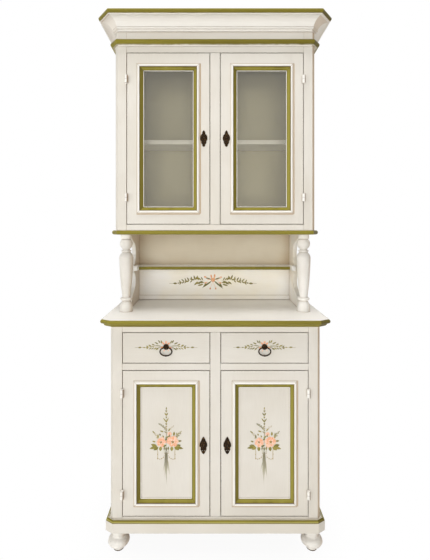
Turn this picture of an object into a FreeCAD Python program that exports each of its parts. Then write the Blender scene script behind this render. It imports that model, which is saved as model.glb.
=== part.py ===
# Painted country display cabinet: a cupboard with drawers on bun feet, an open niche
# between turned columns, and a glazed cupboard under a moulded cornice.
# Millimetres. Origin at the middle of the footprint on the floor, +Z up, front towards -Y.
import FreeCAD
import Part
import math
import os

# Carcass
body_width = 788.0
lower_depth = 390.0
upper_depth = 315.0
corner_cant = 10.0
lower_cant_width = 16.0
lower_cant_depth = 10.0
upper_cant_width = 17.0
upper_cant_depth = 22.0
post_width = 44.6
post_depth = 40.0
side_thickness = 18.0
back_thickness = 13.0
board_thickness = 18.0
rail_thickness = 22.0
centre_stile_width = 38.8

# Heights, from the floor up
foot_height = 81.0
plinth_height = 36.0
lower_bottom_rail = 14.8
lower_door_opening = 548.8
drawer_rail = 25.2
drawer_opening = 116.6
lower_top_rail = 22.8
counter_bed_height = 12.0
counter_thickness = 16.5
niche_height = 313.3
base_board_thickness = 17.0
upper_bottom_rail = 23.0
upper_door_opening = 677.0
upper_top_rail = 24.0
frieze_height = 57.0
crown_height = 61.5

# Mouldings, measured outwards from the faces of the posts
plinth_overhang = 17.0
plinth_thickness = 24.0
plinth_block_size = 90.0
plinth_block_height = 18.0
plinth_moulding_reach = 16.0
plinth_moulding_height = 8.0
plinth_moulding_ledge = 5.0
counter_overhang = 35.0
counter_bed_reach = 24.0
base_board_overhang = 16.0
moulding_seat = 10.0
moulding_lip = 2.0
necking_reach = 22.0
necking_bead = 19.0
necking_ovolo = 4.0
necking_ovolo_reach = 6.0
crown_reach = 65.5
crown_fillet = 7.6
crown_fillet_reach = 8.0
crown_torus = 7.4
crown_torus_reach = 15.0
crown_cove_reach = 57.5
crown_top_fillet = 3.6
crown_top_bead = 17.5
dust_board_thickness = 12.0

# Bun feet
foot_radius = 40.5
foot_glide_radius = 19.8
foot_glide_height = 4.0
foot_base_radius = 20.5
foot_base_height = 12.0
foot_belly_height = 30.0
foot_belly_slope = 14.0
foot_shoulder_radius = 27.0
foot_shoulder_height = 47.0
foot_neck_radius = 22.5
foot_collar_radius = 25.5
foot_collar_height = 21.0
foot_inset = 27.5
foot_front_inset = 23.0
foot_back_inset = 48.0

# Niche
column_inset = 32.5
column_setback = 55.0
column_base_radius = 25.6
column_base_height = 16.0
column_bell_height = 27.0
column_bell_swell = 2.0
column_groove_radius = 16.5
column_ring_radius = 24.2
column_ring_height = 12.0
column_vase_foot_radius = 16.0
column_vase_radius = 28.3
column_vase_shoulder = 27.0
column_bead_radius = 20.5
column_bead_height = 7.0
column_neck_radius = 14.5
column_neck_height = 8.0
column_ball_radius = 25.8
column_ball_height = 36.0
column_block_radius = 22.5
column_block_height = 18.0
column_quirk = 2.0
niche_side_thickness = 18.0
niche_side_inset = 22.5
niche_side_foot_setback = 120.0
niche_side_foot_height = 45.0
niche_side_foot_slope = 22.0
niche_side_knee_setback = 197.0
niche_side_foot_knee = 25.0
niche_side_head_knee = 26.0
niche_side_waist_setback = 216.0
niche_side_nose_setback = 174.0
niche_side_nose_height = 27.0
niche_side_arch_setback = 222.0
niche_side_head_setback = 116.0
niche_side_head_height = 18.0
niche_side_head_slope = 15.0
niche_shelf_rise = 151.3
niche_shelf_thickness = 14.0
niche_shelf_depth = 97.0
niche_shelf_ear_width = 16.0
niche_shelf_ear_height = 20.5
niche_shelf_ear_lead = 14.0
niche_shelf_ear_lap = 20.0
niche_skirting_height = 20.0
niche_skirting_thickness = 8.0
niche_skirting_lift = 2.5

# Shelves inside the cupboards
upper_shelf_depth = 152.0
upper_shelf_rise = 347.0
lower_shelf_depth = 270.0
lower_shelf_rise = 260.0
shelf_thickness = 18.5
shelf_end_play = 0.5
shelf_pin_radius = 3.0
shelf_pin_reach = 12.0
shelf_pin_bore = 10.0
shelf_pin_inset = 35.0

# Doors
door_reveal = 2.0
door_thickness = 22.0
lower_door_stile_margin = 40.5
lower_door_rail_margin = 36.8
upper_door_stile_margin = 38.0
upper_door_rail_margin = 40.5
moulding_overlap = 11.0
moulding_width = 28.0
moulding_skirt_width = 4.5
moulding_bead_width = 8.0
moulding_bead_side = 4.0
moulding_bead_height = 7.5
moulding_quirk = 1.2
moulding_lip_width = 2.0
moulding_lip_height = 2.0
panel_setback = 6.0
glass_setback = 8.5
panel_thickness = 8.0
glass_thickness = 4.0
panel_tongue = 8.0
groove_play = 0.2

# Hinges
hinge_barrel_radius = 6.5
hinge_standoff = 7.0
hinge_knuckle_height = 15.5
hinge_knuckle_play = 0.2
hinge_pin_radius = 3.0
hinge_pin_height = 10.0
hinge_leaf_thickness = 0.8
hinge_leaf_depth = 18.0
upper_hinge_inset = 106.0
lower_hinge_inset = 85.0

# Locks
lock_backset = 23.2
lock_plate_width = 28.6
lock_plate_height = 65.0
lock_plate_thickness = 2.0
upper_lock_drop = 0.0
lower_lock_drop = 7.0
upper_boss_rise = 3.7
lower_boss_rise = 1.8
piercing_radius = 1.9
lock_boss_radius = 8.5
lock_boss_height = 3.0
keyhole_radius = 2.2
keyhole_slot_width = 2.4
keyhole_slot_length = 7.0
lock_case_width = 38.0
lock_case_height = 56.0
lock_case_depth = 9.0

# Drawers
drawer_front_thickness = 20.0
drawer_side_thickness = 11.0
drawer_side_height = 88.0
drawer_back_play = 27.0
drawer_bottom_thickness = 6.0
drawer_bottom_rise = 8.0
drawer_running_play = 0.3
deck_thickness = 16.0
guide_height = 20.0

# Ring pulls
pull_rise = 4.0
pull_plate_radius = 11.0
pull_plate_rim = 1.5
pull_plate_dome = 3.0
pull_eye_radius = 5.2
pull_standoff = 7.5
ring_width = 49.0
ring_height = 36.0
ring_wire_radius = 2.3
ring_end_radius = 12.0
ring_play = 0.6
ring_bead_radius = 3.3

# Clearances
running_fit = 0.05
board_play = 0.2
cut_margin = 1.0

# Places that follow from the sizes
half_width = body_width / 2
total_depth = lower_depth + counter_overhang
back_y = total_depth / 2
lower_face_y = back_y - lower_depth
upper_face_y = back_y - upper_depth
lower_level = (lower_face_y, lower_cant_width, lower_cant_depth)
upper_level = (upper_face_y, upper_cant_width, upper_cant_depth)
back_panel_y = back_y - back_thickness
post_inner_x = half_width - post_width
side_inner_x = half_width - side_thickness
stile_half = centre_stile_width / 2

plinth_z = foot_height
lower_z = plinth_z + plinth_height
lower_door_z = lower_z + lower_bottom_rail
drawer_rail_z = lower_door_z + lower_door_opening
drawer_z = drawer_rail_z + drawer_rail
lower_top_rail_z = drawer_z + drawer_opening
counter_bed_z = lower_top_rail_z + lower_top_rail
counter_z = counter_bed_z + counter_bed_height
niche_z = counter_z + counter_thickness
base_board_z = niche_z + niche_height
upper_z = base_board_z + base_board_thickness
upper_door_z = upper_z + upper_bottom_rail
upper_top_rail_z = upper_door_z + upper_door_opening
frieze_z = upper_top_rail_z + upper_top_rail
crown_z = frieze_z + frieze_height

door_inner_x = stile_half + door_reveal
door_outer_x = post_inner_x - door_reveal
hinge_x = post_inner_x - door_reveal / 2
niche_side_outer_x = half_width - niche_side_inset
niche_side_inner_x = niche_side_outer_x - niche_side_thickness

UP = FreeCAD.Vector(0, 0, 1)
FORWARD = FreeCAD.Vector(0, -1, 0)
RIGHTWARD = FreeCAD.Vector(1, 0, 0)
ORIGIN = FreeCAD.Vector(0, 0, 0)


def point(x, y, z):
    return FreeCAD.Vector(x, y, z)


def block(x0, x1, y0, y1, z0, z1):
    low = point(min(x0, x1), min(y0, y1), min(z0, z1))
    return Part.makeBox(abs(x1 - x0), abs(y1 - y0), abs(z1 - z0), low)


def mirrored(shape):
    return shape.mirror(ORIGIN, RIGHTWARD)


def both_sides(shape):
    return [shape, mirrored(shape)]


def on_side(side, shape):
    """Pieces are drawn for the right-hand side, where side is 1, and mirrored for the left."""
    return shape if side > 0 else mirrored(shape)


def save(node, pieces):
    shape = pieces[0] if len(pieces) == 1 else Part.makeCompound(pieces)
    shape.exportStep(os.path.join("parts", node + ".step"))


def profile_face(steps, place):
    """A closed face: (u, v) is a straight step, (u, v, u, v) an arc through the first pair."""
    edges = []
    here = place(*steps[0])
    for step in steps[1:] + steps[:1]:
        there = place(*step[-2:])
        if len(step) == 4:
            edges.append(Part.Arc(here, place(*step[:2]), there).toShape())
        else:
            edges.append(Part.makeLine(here, there))
        here = there
    return Part.Face(Part.Wire(edges))


def prism(corners, direction):
    return Part.Face(Part.makePolygon(corners + corners[:1])).extrude(direction)


def turned(steps, base, axis):
    """A solid of revolution about an axis through base, from its half section in (radius, height)."""
    face = profile_face(steps, lambda radius, height: base + RIGHTWARD * radius + axis * height)
    return face.revolve(base, axis, 360)


def run_normals(path, up, closed):
    runs = len(path) if closed else len(path) - 1
    normals = []
    for index in range(runs):
        along = path[(index + 1) % len(path)] - path[index]
        normals.append(along.normalize().cross(up))
    return normals


def mitre_vectors(path, up, closed):
    """How far each corner of a path moves when the path is offset outwards by one."""
    normals = run_normals(path, up, closed)
    vectors = []
    for index in range(len(path)):
        before = normals[index - 1] if closed or index > 0 else normals[0]
        after = normals[index % len(normals)] if closed or index < len(normals) else normals[-1]
        vectors.append((before + after) / (1 + before.dot(after)))
    return vectors


def offset_path(path, up, distance, closed=False):
    return [corner + vector * distance for corner, vector in zip(path, mitre_vectors(path, up, closed))]


def mitred_sticks(path, up, steps, closed=False):
    """Lengths of one moulding along a flat path, mitred to each other at its corners."""
    reach = [step[index] for step in steps for index in range(0, len(step), 2)]
    rise = [step[index] for step in steps for index in range(1, len(step), 2)]
    inner = min(reach) - cut_margin
    outer = max(reach) + cut_margin
    low = up * (min(rise) - cut_margin)
    lift = up * (max(rise) - min(rise) + 2 * cut_margin)
    overrun = max(abs(inner), abs(outer)) + cut_margin
    vectors = mitre_vectors(path, up, closed)
    sticks = []
    for index, normal in enumerate(run_normals(path, up, closed)):
        start = path[index]
        following = (index + 1) % len(path)
        end = path[following]
        along = (end - start).normalize()
        face = profile_face(steps, lambda u, v: start + normal * u + up * v - along * overrun)
        length = start.distanceToPoint(end) + 2 * overrun
        wedge = [
            start + vectors[index] * inner + low,
            end + vectors[following] * inner + low,
            end + vectors[following] * outer + low,
            start + vectors[index] * outer + low,
        ]
        sticks.append(face.extrude(along * length).common(prism(wedge, lift)).Solids[0])
    return sticks


def plan_path(level, z):
    """Line of the mouldings seen from above, from the back round the canted front corners."""
    face_y, cant_width, cant_depth = level
    left = [
        point(-half_width, back_y, z),
        point(-half_width, face_y + cant_depth, z),
        point(-half_width + cant_width, face_y, z),
    ]
    return left + [point(-corner.x, corner.y, corner.z) for corner in reversed(left)]


def nosed_board(level, z, thickness, overhang):
    """A board that overhangs the body, with a half-round edge on its front and sides."""
    path = plan_path(level, z)
    nose = thickness / 2
    edge = overhang - nose
    steps = [(edge, 0), (overhang, nose, edge, thickness)]
    board = prism(offset_path(path, UP, edge), UP * thickness)
    return board.multiFuse(mitred_sticks(path, UP, steps)).removeSplitter()


def front_post(face_y, z0, z1):
    """A corner post with its canted arris, on the right."""
    corners = [
        point(post_inner_x, face_y, z0),
        point(half_width - corner_cant, face_y, z0),
        point(half_width, face_y + corner_cant, z0),
        point(half_width, face_y + post_depth, z0),
        point(post_inner_x, face_y + post_depth, z0),
    ]
    return prism(corners, UP * (z1 - z0))


def round_posts(sticks, face_y, z0, z1):
    """The lengths of a moulding, fitted round the corner posts they run past."""
    right, left = both_sides(front_post(face_y, z0, z1))
    return [stick.cut(right).cut(left).Solids[0] for stick in sticks]


def notched_board(face_y, z, thickness):
    """A board behind the face rails, fitted round the posts and between the side panels."""
    right = [
        point(post_inner_x, face_y + rail_thickness, z),
        point(post_inner_x, face_y + post_depth, z),
        point(side_inner_x, face_y + post_depth, z),
        point(side_inner_x, back_panel_y, z),
    ]
    left = [point(-corner.x, corner.y, corner.z) for corner in reversed(right)]
    return prism(right + left, UP * thickness)


def side_panel(face_y, z0, z1):
    return block(side_inner_x, half_width, face_y + post_depth, back_y, z0, z1)


def face_rail(x0, x1, face_y, z, height):
    return block(x0, x1, face_y, face_y + rail_thickness, z, z + height)


def shelf_pins_right(depth, underside_z):
    """Two pins that carry one end of a shelf."""
    start = point(side_inner_x - shelf_pin_reach, 0, underside_z - shelf_pin_radius - running_fit)
    length = shelf_pin_reach + shelf_pin_bore
    places = [back_panel_y - shelf_pin_inset, back_panel_y - depth + shelf_pin_inset]
    return [Part.makeCylinder(shelf_pin_radius, length, start + point(0, y, 0), RIGHTWARD) for y in places]


def pin_bores(panel, depth, underside_z):
    """The side panel with the holes that hold the shelf pins."""
    drop = shelf_pin_radius + running_fit
    for y in [back_panel_y - shelf_pin_inset, back_panel_y - depth + shelf_pin_inset]:
        mouth = point(side_inner_x - cut_margin, y, underside_z - drop)
        length = shelf_pin_bore + cut_margin
        panel = panel.cut(Part.makeCylinder(shelf_pin_radius + running_fit, length, mouth, RIGHTWARD))
    return panel


def make_feet():
    collar_z = foot_height - foot_collar_height
    low_radius = foot_base_radius + foot_belly_slope
    low_z = (foot_base_height + foot_belly_height) / 2 - moulding_lip
    high_radius = (foot_radius + foot_shoulder_radius) / 2 + moulding_lip
    high_z = (foot_belly_height + foot_shoulder_height) / 2 + moulding_lip
    steps = [
        (0, 0),
        (foot_glide_radius, 0),
        (foot_glide_radius, foot_glide_height),
        (foot_base_radius, foot_glide_height),
        (foot_base_radius, foot_base_height),
        (low_radius, low_z, foot_radius, foot_belly_height),
        (high_radius, high_z, foot_shoulder_radius, foot_shoulder_height),
        (foot_neck_radius, (foot_shoulder_height + collar_z) / 2, foot_collar_radius, collar_z),
        (foot_collar_radius, foot_height),
        (0, foot_height),
    ]
    x = half_width - foot_inset
    feet = []
    for y in [lower_face_y + foot_front_inset, back_y - foot_back_inset]:
        feet += both_sides(turned(steps, point(x, y, 0), UP))
    save("bun_feet", feet)


def make_plinth():
    path = plan_path(lower_level, plinth_z)
    inner = plinth_overhang - plinth_thickness
    board = [(inner, 0), (plinth_overhang, 0), (plinth_overhang, plinth_height), (inner, plinth_height)]
    sticks = mitred_sticks(path, UP, board)
    inside = offset_path(path, UP, inner)
    inside_x = inside[-1].x
    rear = block(-inside_x, inside_x, back_y - plinth_thickness, back_y, plinth_z, lower_z)
    front_y = inside[2].y
    block_top = plinth_z + plinth_block_height
    blocks = []
    rear_y = back_y - plinth_thickness
    inner_x = inside_x - plinth_block_size
    front_block = block(inner_x, inside_x, front_y, front_y + plinth_block_size, plinth_z, block_top)
    cant_keep = prism(offset_path(path, UP, inner), UP * plinth_height)
    blocks += both_sides(front_block.common(cant_keep).Solids[0])
    blocks += both_sides(block(inner_x, inside_x, rear_y - plinth_block_size, rear_y, plinth_z, block_top))
    save("plinth_frame", sticks + [rear] + blocks)

    floor_edge = offset_path(path, UP, inner - board_play)
    floor_edge = [point(corner.x, min(corner.y, rear_y - board_play), block_top) for corner in floor_edge]
    save("lower_bottom_board", [prism(floor_edge, UP * (plinth_height - plinth_block_height))])

    lip = moulding_lip
    nosing = [
        (0, 0),
        (plinth_moulding_reach, 0),
        (plinth_moulding_reach, lip),
        (plinth_moulding_reach - lip, plinth_moulding_height - lip, plinth_moulding_ledge, plinth_moulding_height),
        (0, plinth_moulding_height),
    ]
    sticks = mitred_sticks(plan_path(lower_level, lower_z), UP, nosing)
    save("plinth_moulding", round_posts(sticks, lower_face_y, lower_z, counter_bed_z))


def make_lower_carcass():
    face_y = lower_face_y
    save("lower_front_posts", both_sides(front_post(face_y, lower_z, counter_bed_z)))
    shelf_z = lower_door_z + lower_shelf_rise
    panel = pin_bores(side_panel(face_y, lower_z, counter_bed_z), lower_shelf_depth, shelf_z)
    save("lower_side_panels", both_sides(panel))
    save("lower_back_panel", [block(-side_inner_x, side_inner_x, back_panel_y, back_y, lower_z, counter_z)])
    rails = [
        face_rail(-post_inner_x, post_inner_x, face_y, lower_z, lower_bottom_rail),
        face_rail(-post_inner_x, post_inner_x, face_y, lower_top_rail_z, lower_top_rail),
    ]
    rails += both_sides(face_rail(stile_half, post_inner_x, face_y, drawer_rail_z, drawer_rail))
    save("lower_face_rails", rails)
    stile = face_rail(-stile_half, stile_half, face_y, lower_door_z, lower_top_rail_z - lower_door_z)
    save("lower_centre_stile", [stile])

    deck_z = drawer_z - deck_thickness
    save("drawer_deck", [notched_board(face_y, deck_z, deck_thickness)])
    guide_y = face_y + post_depth
    guide_top = drawer_z + guide_height
    guides = both_sides(block(post_inner_x, side_inner_x, guide_y, back_panel_y, drawer_z, guide_top))
    guides.append(block(-stile_half, stile_half, guide_y, back_panel_y, drawer_z, guide_top))
    save("drawer_guides", guides)


def make_shelves():
    end_x = side_inner_x - shelf_end_play
    pins = []
    shelves = [
        ("lower_shelf", lower_shelf_depth, lower_door_z + lower_shelf_rise),
        ("upper_shelf", upper_shelf_depth, upper_door_z + upper_shelf_rise),
    ]
    for node, depth, z in shelves:
        save(node, [block(-end_x, end_x, back_panel_y - depth, back_panel_y, z, z + shelf_thickness)])
        for pin in shelf_pins_right(depth, z):
            pins += both_sides(pin)
    save("shelf_pins", pins)


def make_counter():
    lip = moulding_lip
    start = counter_bed_reach / 4
    bed = [
        (-moulding_seat, 0),
        (start, 0),
        (start, lip),
        (counter_bed_reach - 2 * lip, 2 * lip, counter_bed_reach, counter_bed_height - lip),
        (counter_bed_reach, counter_bed_height),
        (-moulding_seat, counter_bed_height),
    ]
    path = plan_path(lower_level, counter_bed_z)
    save("counter_bed_moulding", mitred_sticks(path, UP, bed))
    save("counter_top", [nosed_board(lower_level, counter_z, counter_thickness, counter_overhang)])


def make_columns():
    """Turned columns: base and bell, ring, vase, bead, neck, ball and cap, from the counter up."""
    bell_z = column_base_height
    ring_z = bell_z + column_bell_height + column_quirk
    vase_z = ring_z + column_ring_height + column_quirk
    cap_z = niche_height - column_block_height
    ball_z = cap_z - column_quirk - column_ball_height
    bead_z = ball_z - column_neck_height - column_bead_height
    belly_z = bead_z - column_quirk - column_vase_shoulder
    ring_root = column_ring_radius - column_ring_height / 2
    bead_root = column_bead_radius - column_bead_height / 2
    rise = (belly_z - vase_z) / 2
    swell = (column_vase_foot_radius + column_vase_radius) / 2 + column_quirk
    ball_root = math.sqrt(column_ball_radius ** 2 - (column_ball_height / 2) ** 2)
    bell_mid = (column_base_radius + column_groove_radius) / 2 + column_bell_swell
    steps = [
        (0, 0),
        (column_base_radius, 0),
        (column_base_radius, bell_z),
        (bell_mid, bell_z + column_bell_height / 2, column_groove_radius, bell_z + column_bell_height),
        (column_groove_radius, ring_z),
        (ring_root, ring_z),
        (column_ring_radius, ring_z + column_ring_height / 2, ring_root, ring_z + column_ring_height),
        (column_vase_foot_radius, ring_z + column_ring_height),
        (column_vase_foot_radius, vase_z),
        (swell, vase_z + rise, column_vase_radius, belly_z),
        (column_vase_radius - column_quirk, belly_z + column_vase_shoulder / 2,
         column_groove_radius, bead_z - column_quirk),
        (column_groove_radius, bead_z),
        (bead_root, bead_z),
        (column_bead_radius, bead_z + column_bead_height / 2, bead_root, bead_z + column_bead_height),
        (column_neck_radius, bead_z + column_bead_height),
        (column_neck_radius + column_quirk / 4, ball_z - column_neck_height / 2, ball_root, ball_z),
        (column_ball_radius, ball_z + column_ball_height / 2, ball_root, ball_z + column_ball_height),
        (column_groove_radius, ball_z + column_ball_height),
        (column_groove_radius, cap_z),
        (column_block_radius, cap_z),
        (column_block_radius, niche_height),
        (0, niche_height),
    ]
    x = half_width - column_inset
    base = point(x, upper_face_y + column_setback, niche_z)
    save("turned_columns", both_sides(turned(steps, base, UP)))


def make_niche():
    save("niche_back_panel", [
        block(-niche_side_outer_x, niche_side_outer_x, back_panel_y, back_y, niche_z, base_board_z),
        block(-niche_side_inner_x, niche_side_inner_x, back_panel_y - niche_skirting_thickness,
              back_panel_y, niche_z + niche_skirting_lift, niche_z + niche_skirting_height),
    ])

    niche_depth = upper_depth - back_thickness
    foot_reach = niche_depth - niche_side_foot_setback
    knee_reach = niche_depth - niche_side_knee_setback
    waist_reach = niche_depth - niche_side_waist_setback
    nose_reach = niche_depth - niche_side_nose_setback
    arch_reach = niche_depth - niche_side_arch_setback
    head_reach = niche_depth - niche_side_head_setback
    shelf_middle = niche_shelf_rise + niche_shelf_thickness / 2
    nose_low = shelf_middle - niche_side_nose_height / 2
    nose_high = shelf_middle + niche_side_nose_height / 2
    head = niche_height - niche_side_head_height
    foot_knee = niche_side_foot_height + niche_side_foot_knee
    head_knee = head - niche_side_head_knee
    waist = (foot_knee + nose_low) / 2
    arch = (nose_high + head_knee) / 2
    edge = [
        (0, 0),
        (foot_reach, 0),
        (foot_reach - niche_side_foot_slope, niche_side_foot_height),
        (knee_reach, foot_knee),
        (waist_reach, waist, nose_reach, nose_low),
        (nose_reach, nose_high),
        (arch_reach, arch, knee_reach, head_knee),
        (head_reach, head),
        (head_reach + niche_side_head_slope, niche_height),
        (0, niche_height),
    ]
    x = niche_side_inner_x
    side = profile_face(edge, lambda reach, rise: point(x, back_panel_y - reach, niche_z + rise))
    save("niche_sides", both_sides(side.extrude(RIGHTWARD * niche_side_thickness)))

    shelf_z = niche_z + niche_shelf_rise
    shelf_front_y = back_panel_y - niche_shelf_depth
    ear_x = niche_side_inner_x - niche_shelf_ear_width
    ear_front_y = back_panel_y - nose_reach - niche_shelf_ear_lead
    board = block(-niche_side_inner_x, niche_side_inner_x, shelf_front_y, back_panel_y,
                  shelf_z, shelf_z + niche_shelf_thickness)
    ear = block(ear_x, niche_side_inner_x, ear_front_y, shelf_front_y + niche_shelf_ear_lap,
                shelf_z, shelf_z + niche_shelf_ear_height)
    save("niche_shelf", [board.multiFuse(both_sides(ear)).removeSplitter()])


def make_upper_carcass():
    face_y = upper_face_y
    save("upper_base_board", [nosed_board(upper_level, base_board_z, base_board_thickness, base_board_overhang)])
    save("upper_front_posts", both_sides(front_post(face_y, upper_z, crown_z)))
    shelf_z = upper_door_z + upper_shelf_rise
    panel = pin_bores(side_panel(face_y, upper_z, crown_z), upper_shelf_depth, shelf_z)
    save("upper_side_panels", both_sides(panel))
    save("upper_back_panel", [block(-side_inner_x, side_inner_x, back_panel_y, back_y, upper_z, crown_z)])
    save("upper_face_rails", [
        face_rail(-post_inner_x, post_inner_x, face_y, upper_z, upper_bottom_rail),
        face_rail(-post_inner_x, post_inner_x, face_y, upper_top_rail_z, upper_top_rail),
    ])
    stile = face_rail(-stile_half, stile_half, face_y, upper_door_z, upper_door_opening)
    save("upper_centre_stile", [stile])
    save("upper_top_board", [notched_board(face_y, crown_z - board_thickness, board_thickness)])
    save("frieze_board", [face_rail(-post_inner_x, post_inner_x, face_y, frieze_z, frieze_height)])


def make_cornice():
    ovolo = necking_ovolo
    bead_root = necking_reach - necking_bead / 2
    bead_mid = ovolo + necking_bead / 2
    necking_top = ovolo + necking_bead
    necking = [
        (0, 0),
        (moulding_lip, 0),
        (necking_ovolo_reach - moulding_lip / 2, moulding_lip / 2, necking_ovolo_reach, ovolo),
        (bead_root, ovolo),
        (necking_reach, bead_mid, bead_root, necking_top),
        (0, necking_top),
    ]
    sticks = mitred_sticks(plan_path(upper_level, frieze_z), UP, necking)
    save("necking_moulding", round_posts(sticks, upper_face_y, upper_z, crown_z))

    cove_low = crown_fillet + crown_torus
    bead_low = crown_height - crown_top_bead
    cove_high = bead_low - crown_top_fillet
    bead_foot = crown_reach - crown_top_bead / 2
    torus_root = crown_torus_reach - crown_torus / 2
    cove_mid = (crown_torus_reach + crown_cove_reach) / 2
    hollow = (cove_high - cove_low) / 4
    crown = [
        (-moulding_seat, 0),
        (crown_fillet_reach, 0),
        (crown_fillet_reach, crown_fillet),
        (torus_root, crown_fillet),
        (crown_torus_reach, crown_fillet + crown_torus / 2, torus_root, cove_low),
        (crown_torus_reach, cove_low),
        (cove_mid - hollow, (cove_low + cove_high) / 2 + hollow, crown_cove_reach, cove_high),
        (crown_cove_reach + moulding_lip, cove_high),
        (crown_cove_reach + moulding_lip, bead_low),
        (bead_foot, bead_low),
        (crown_reach, crown_height - crown_top_bead / 2, bead_foot, crown_height),
        (-moulding_seat, crown_height),
    ]
    path = plan_path(upper_level, crown_z)
    save("crown_moulding", mitred_sticks(path, UP, crown))
    save("cornice_dust_board", [prism(offset_path(path, UP, -moulding_seat), UP * dust_board_thickness)])


def hinge_half(face_y, z, side_of_gap, pinned):
    """One knuckle with its leaf, on the right: side_of_gap is 1 on the post, -1 on the door."""
    axis_y = face_y - hinge_standoff
    barrel = Part.makeCylinder(hinge_barrel_radius, hinge_knuckle_height, point(hinge_x, axis_y, z))
    wood_x = hinge_x + side_of_gap * door_reveal / 2
    leaf_x = wood_x - side_of_gap * hinge_leaf_thickness
    leaf = block(leaf_x, wood_x, axis_y, face_y + hinge_leaf_depth, z, z + hinge_knuckle_height)
    half = barrel.fuse(leaf)
    if pinned:
        pin_length = hinge_knuckle_height + hinge_pin_height
        return half.fuse(Part.makeCylinder(hinge_pin_radius, pin_length, point(hinge_x, axis_y, z)))
    bore = hinge_pin_radius + running_fit
    bore_height = hinge_pin_height + cut_margin
    return half.cut(Part.makeCylinder(bore, bore_height, point(hinge_x, axis_y, z - cut_margin)))


def hinge_heights(z, opening, inset):
    """Heights where the two knuckles of each hinge of a door meet."""
    return [z + inset, z + opening - inset]


def keyhole(front, back):
    """The shape of the keyhole between two depths, centred on the origin and seen along +Y."""
    shaft = Part.makeCylinder(keyhole_radius, back - front, point(0, front, 0), -FORWARD)
    slot_half = keyhole_slot_width / 2
    return shaft.fuse(block(-slot_half, slot_half, front, back, -keyhole_slot_length, 0))


def keyhole_plate(outline, boss_rise, piercings):
    """Shaped plate with a domed boss and a keyhole at the origin, facing -Y."""
    steps = list(outline)
    for index in range(len(outline) - 1, 0, -1):
        via = outline[index]
        to = outline[index - 1][-2:]
        steps.append((-via[0], via[1], -to[0], to[1]))

    def place(across, up):
        return point(across * lock_plate_width / 2, 0, up * lock_plate_height / 2 - boss_rise)

    edges = []
    here = place(*steps[0])
    for step in steps[1:]:
        there = place(*step[-2:])
        edges.append(Part.Arc(here, place(*step[:2]), there).toShape())
        here = there
    plate = Part.Face(Part.Wire(edges)).extrude(FORWARD * lock_plate_thickness)
    crest = lock_plate_thickness + lock_boss_height
    boss = [
        (0, lock_plate_thickness / 2),
        (lock_boss_radius, lock_plate_thickness / 2),
        (lock_boss_radius, lock_plate_thickness),
        (lock_boss_radius * 0.7, lock_plate_thickness + lock_boss_height * 0.6, 0, crest),
    ]
    plate = plate.fuse(turned(boss, ORIGIN, FORWARD))
    depth = lock_plate_thickness + 2 * cut_margin
    for across, up in piercings:
        mouth = place(across, up) - FORWARD * cut_margin
        plate = plate.cut(Part.makeCylinder(piercing_radius, depth, mouth, FORWARD))
    return plate.cut(keyhole(-crest - cut_margin, cut_margin))


# Half outlines of the plates, as shares of half their width and half their height
upper_plate_outline = [
    (0, 1.0),
    (0.30, 0.85, 0.43, 0.57),
    (0.78, 0.40, 1.0, 0.05),
    (0.95, -0.15, 0.68, -0.32),
    (0.72, -0.48, 0.36, -0.72),
    (0.34, -0.90, 0, -1.0),
]
lower_plate_outline = [
    (0, 1.0),
    (0.34, 0.80, 0.62, 0.50),
    (0.86, 0.32, 1.0, 0.05),
    (0.93, -0.14, 0.66, -0.25),
    (0.78, -0.42, 0.56, -0.62),
    (0.34, -0.86, 0, -1.0),
]
lower_plate_piercings = [(-0.27, -0.6), (0.27, -0.6)]
lower_door = {
    "face_y": lower_face_y, "z": lower_door_z, "opening": lower_door_opening,
    "infill": "panel", "infill_thickness": panel_thickness, "setback": panel_setback,
    "stile_margin": lower_door_stile_margin, "rail_margin": lower_door_rail_margin,
    "plate": keyhole_plate(lower_plate_outline, lower_boss_rise, lower_plate_piercings),
    "lock_rise": lower_boss_rise - lower_lock_drop, "hinge_inset": lower_hinge_inset,
}
upper_door = {
    "face_y": upper_face_y, "z": upper_door_z, "opening": upper_door_opening,
    "infill": "glass", "infill_thickness": glass_thickness, "setback": glass_setback,
    "stile_margin": upper_door_stile_margin, "rail_margin": upper_door_rail_margin,
    "plate": keyhole_plate(upper_plate_outline, upper_boss_rise, []),
    "lock_rise": upper_boss_rise - upper_lock_drop, "hinge_inset": upper_hinge_inset,
}


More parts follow.
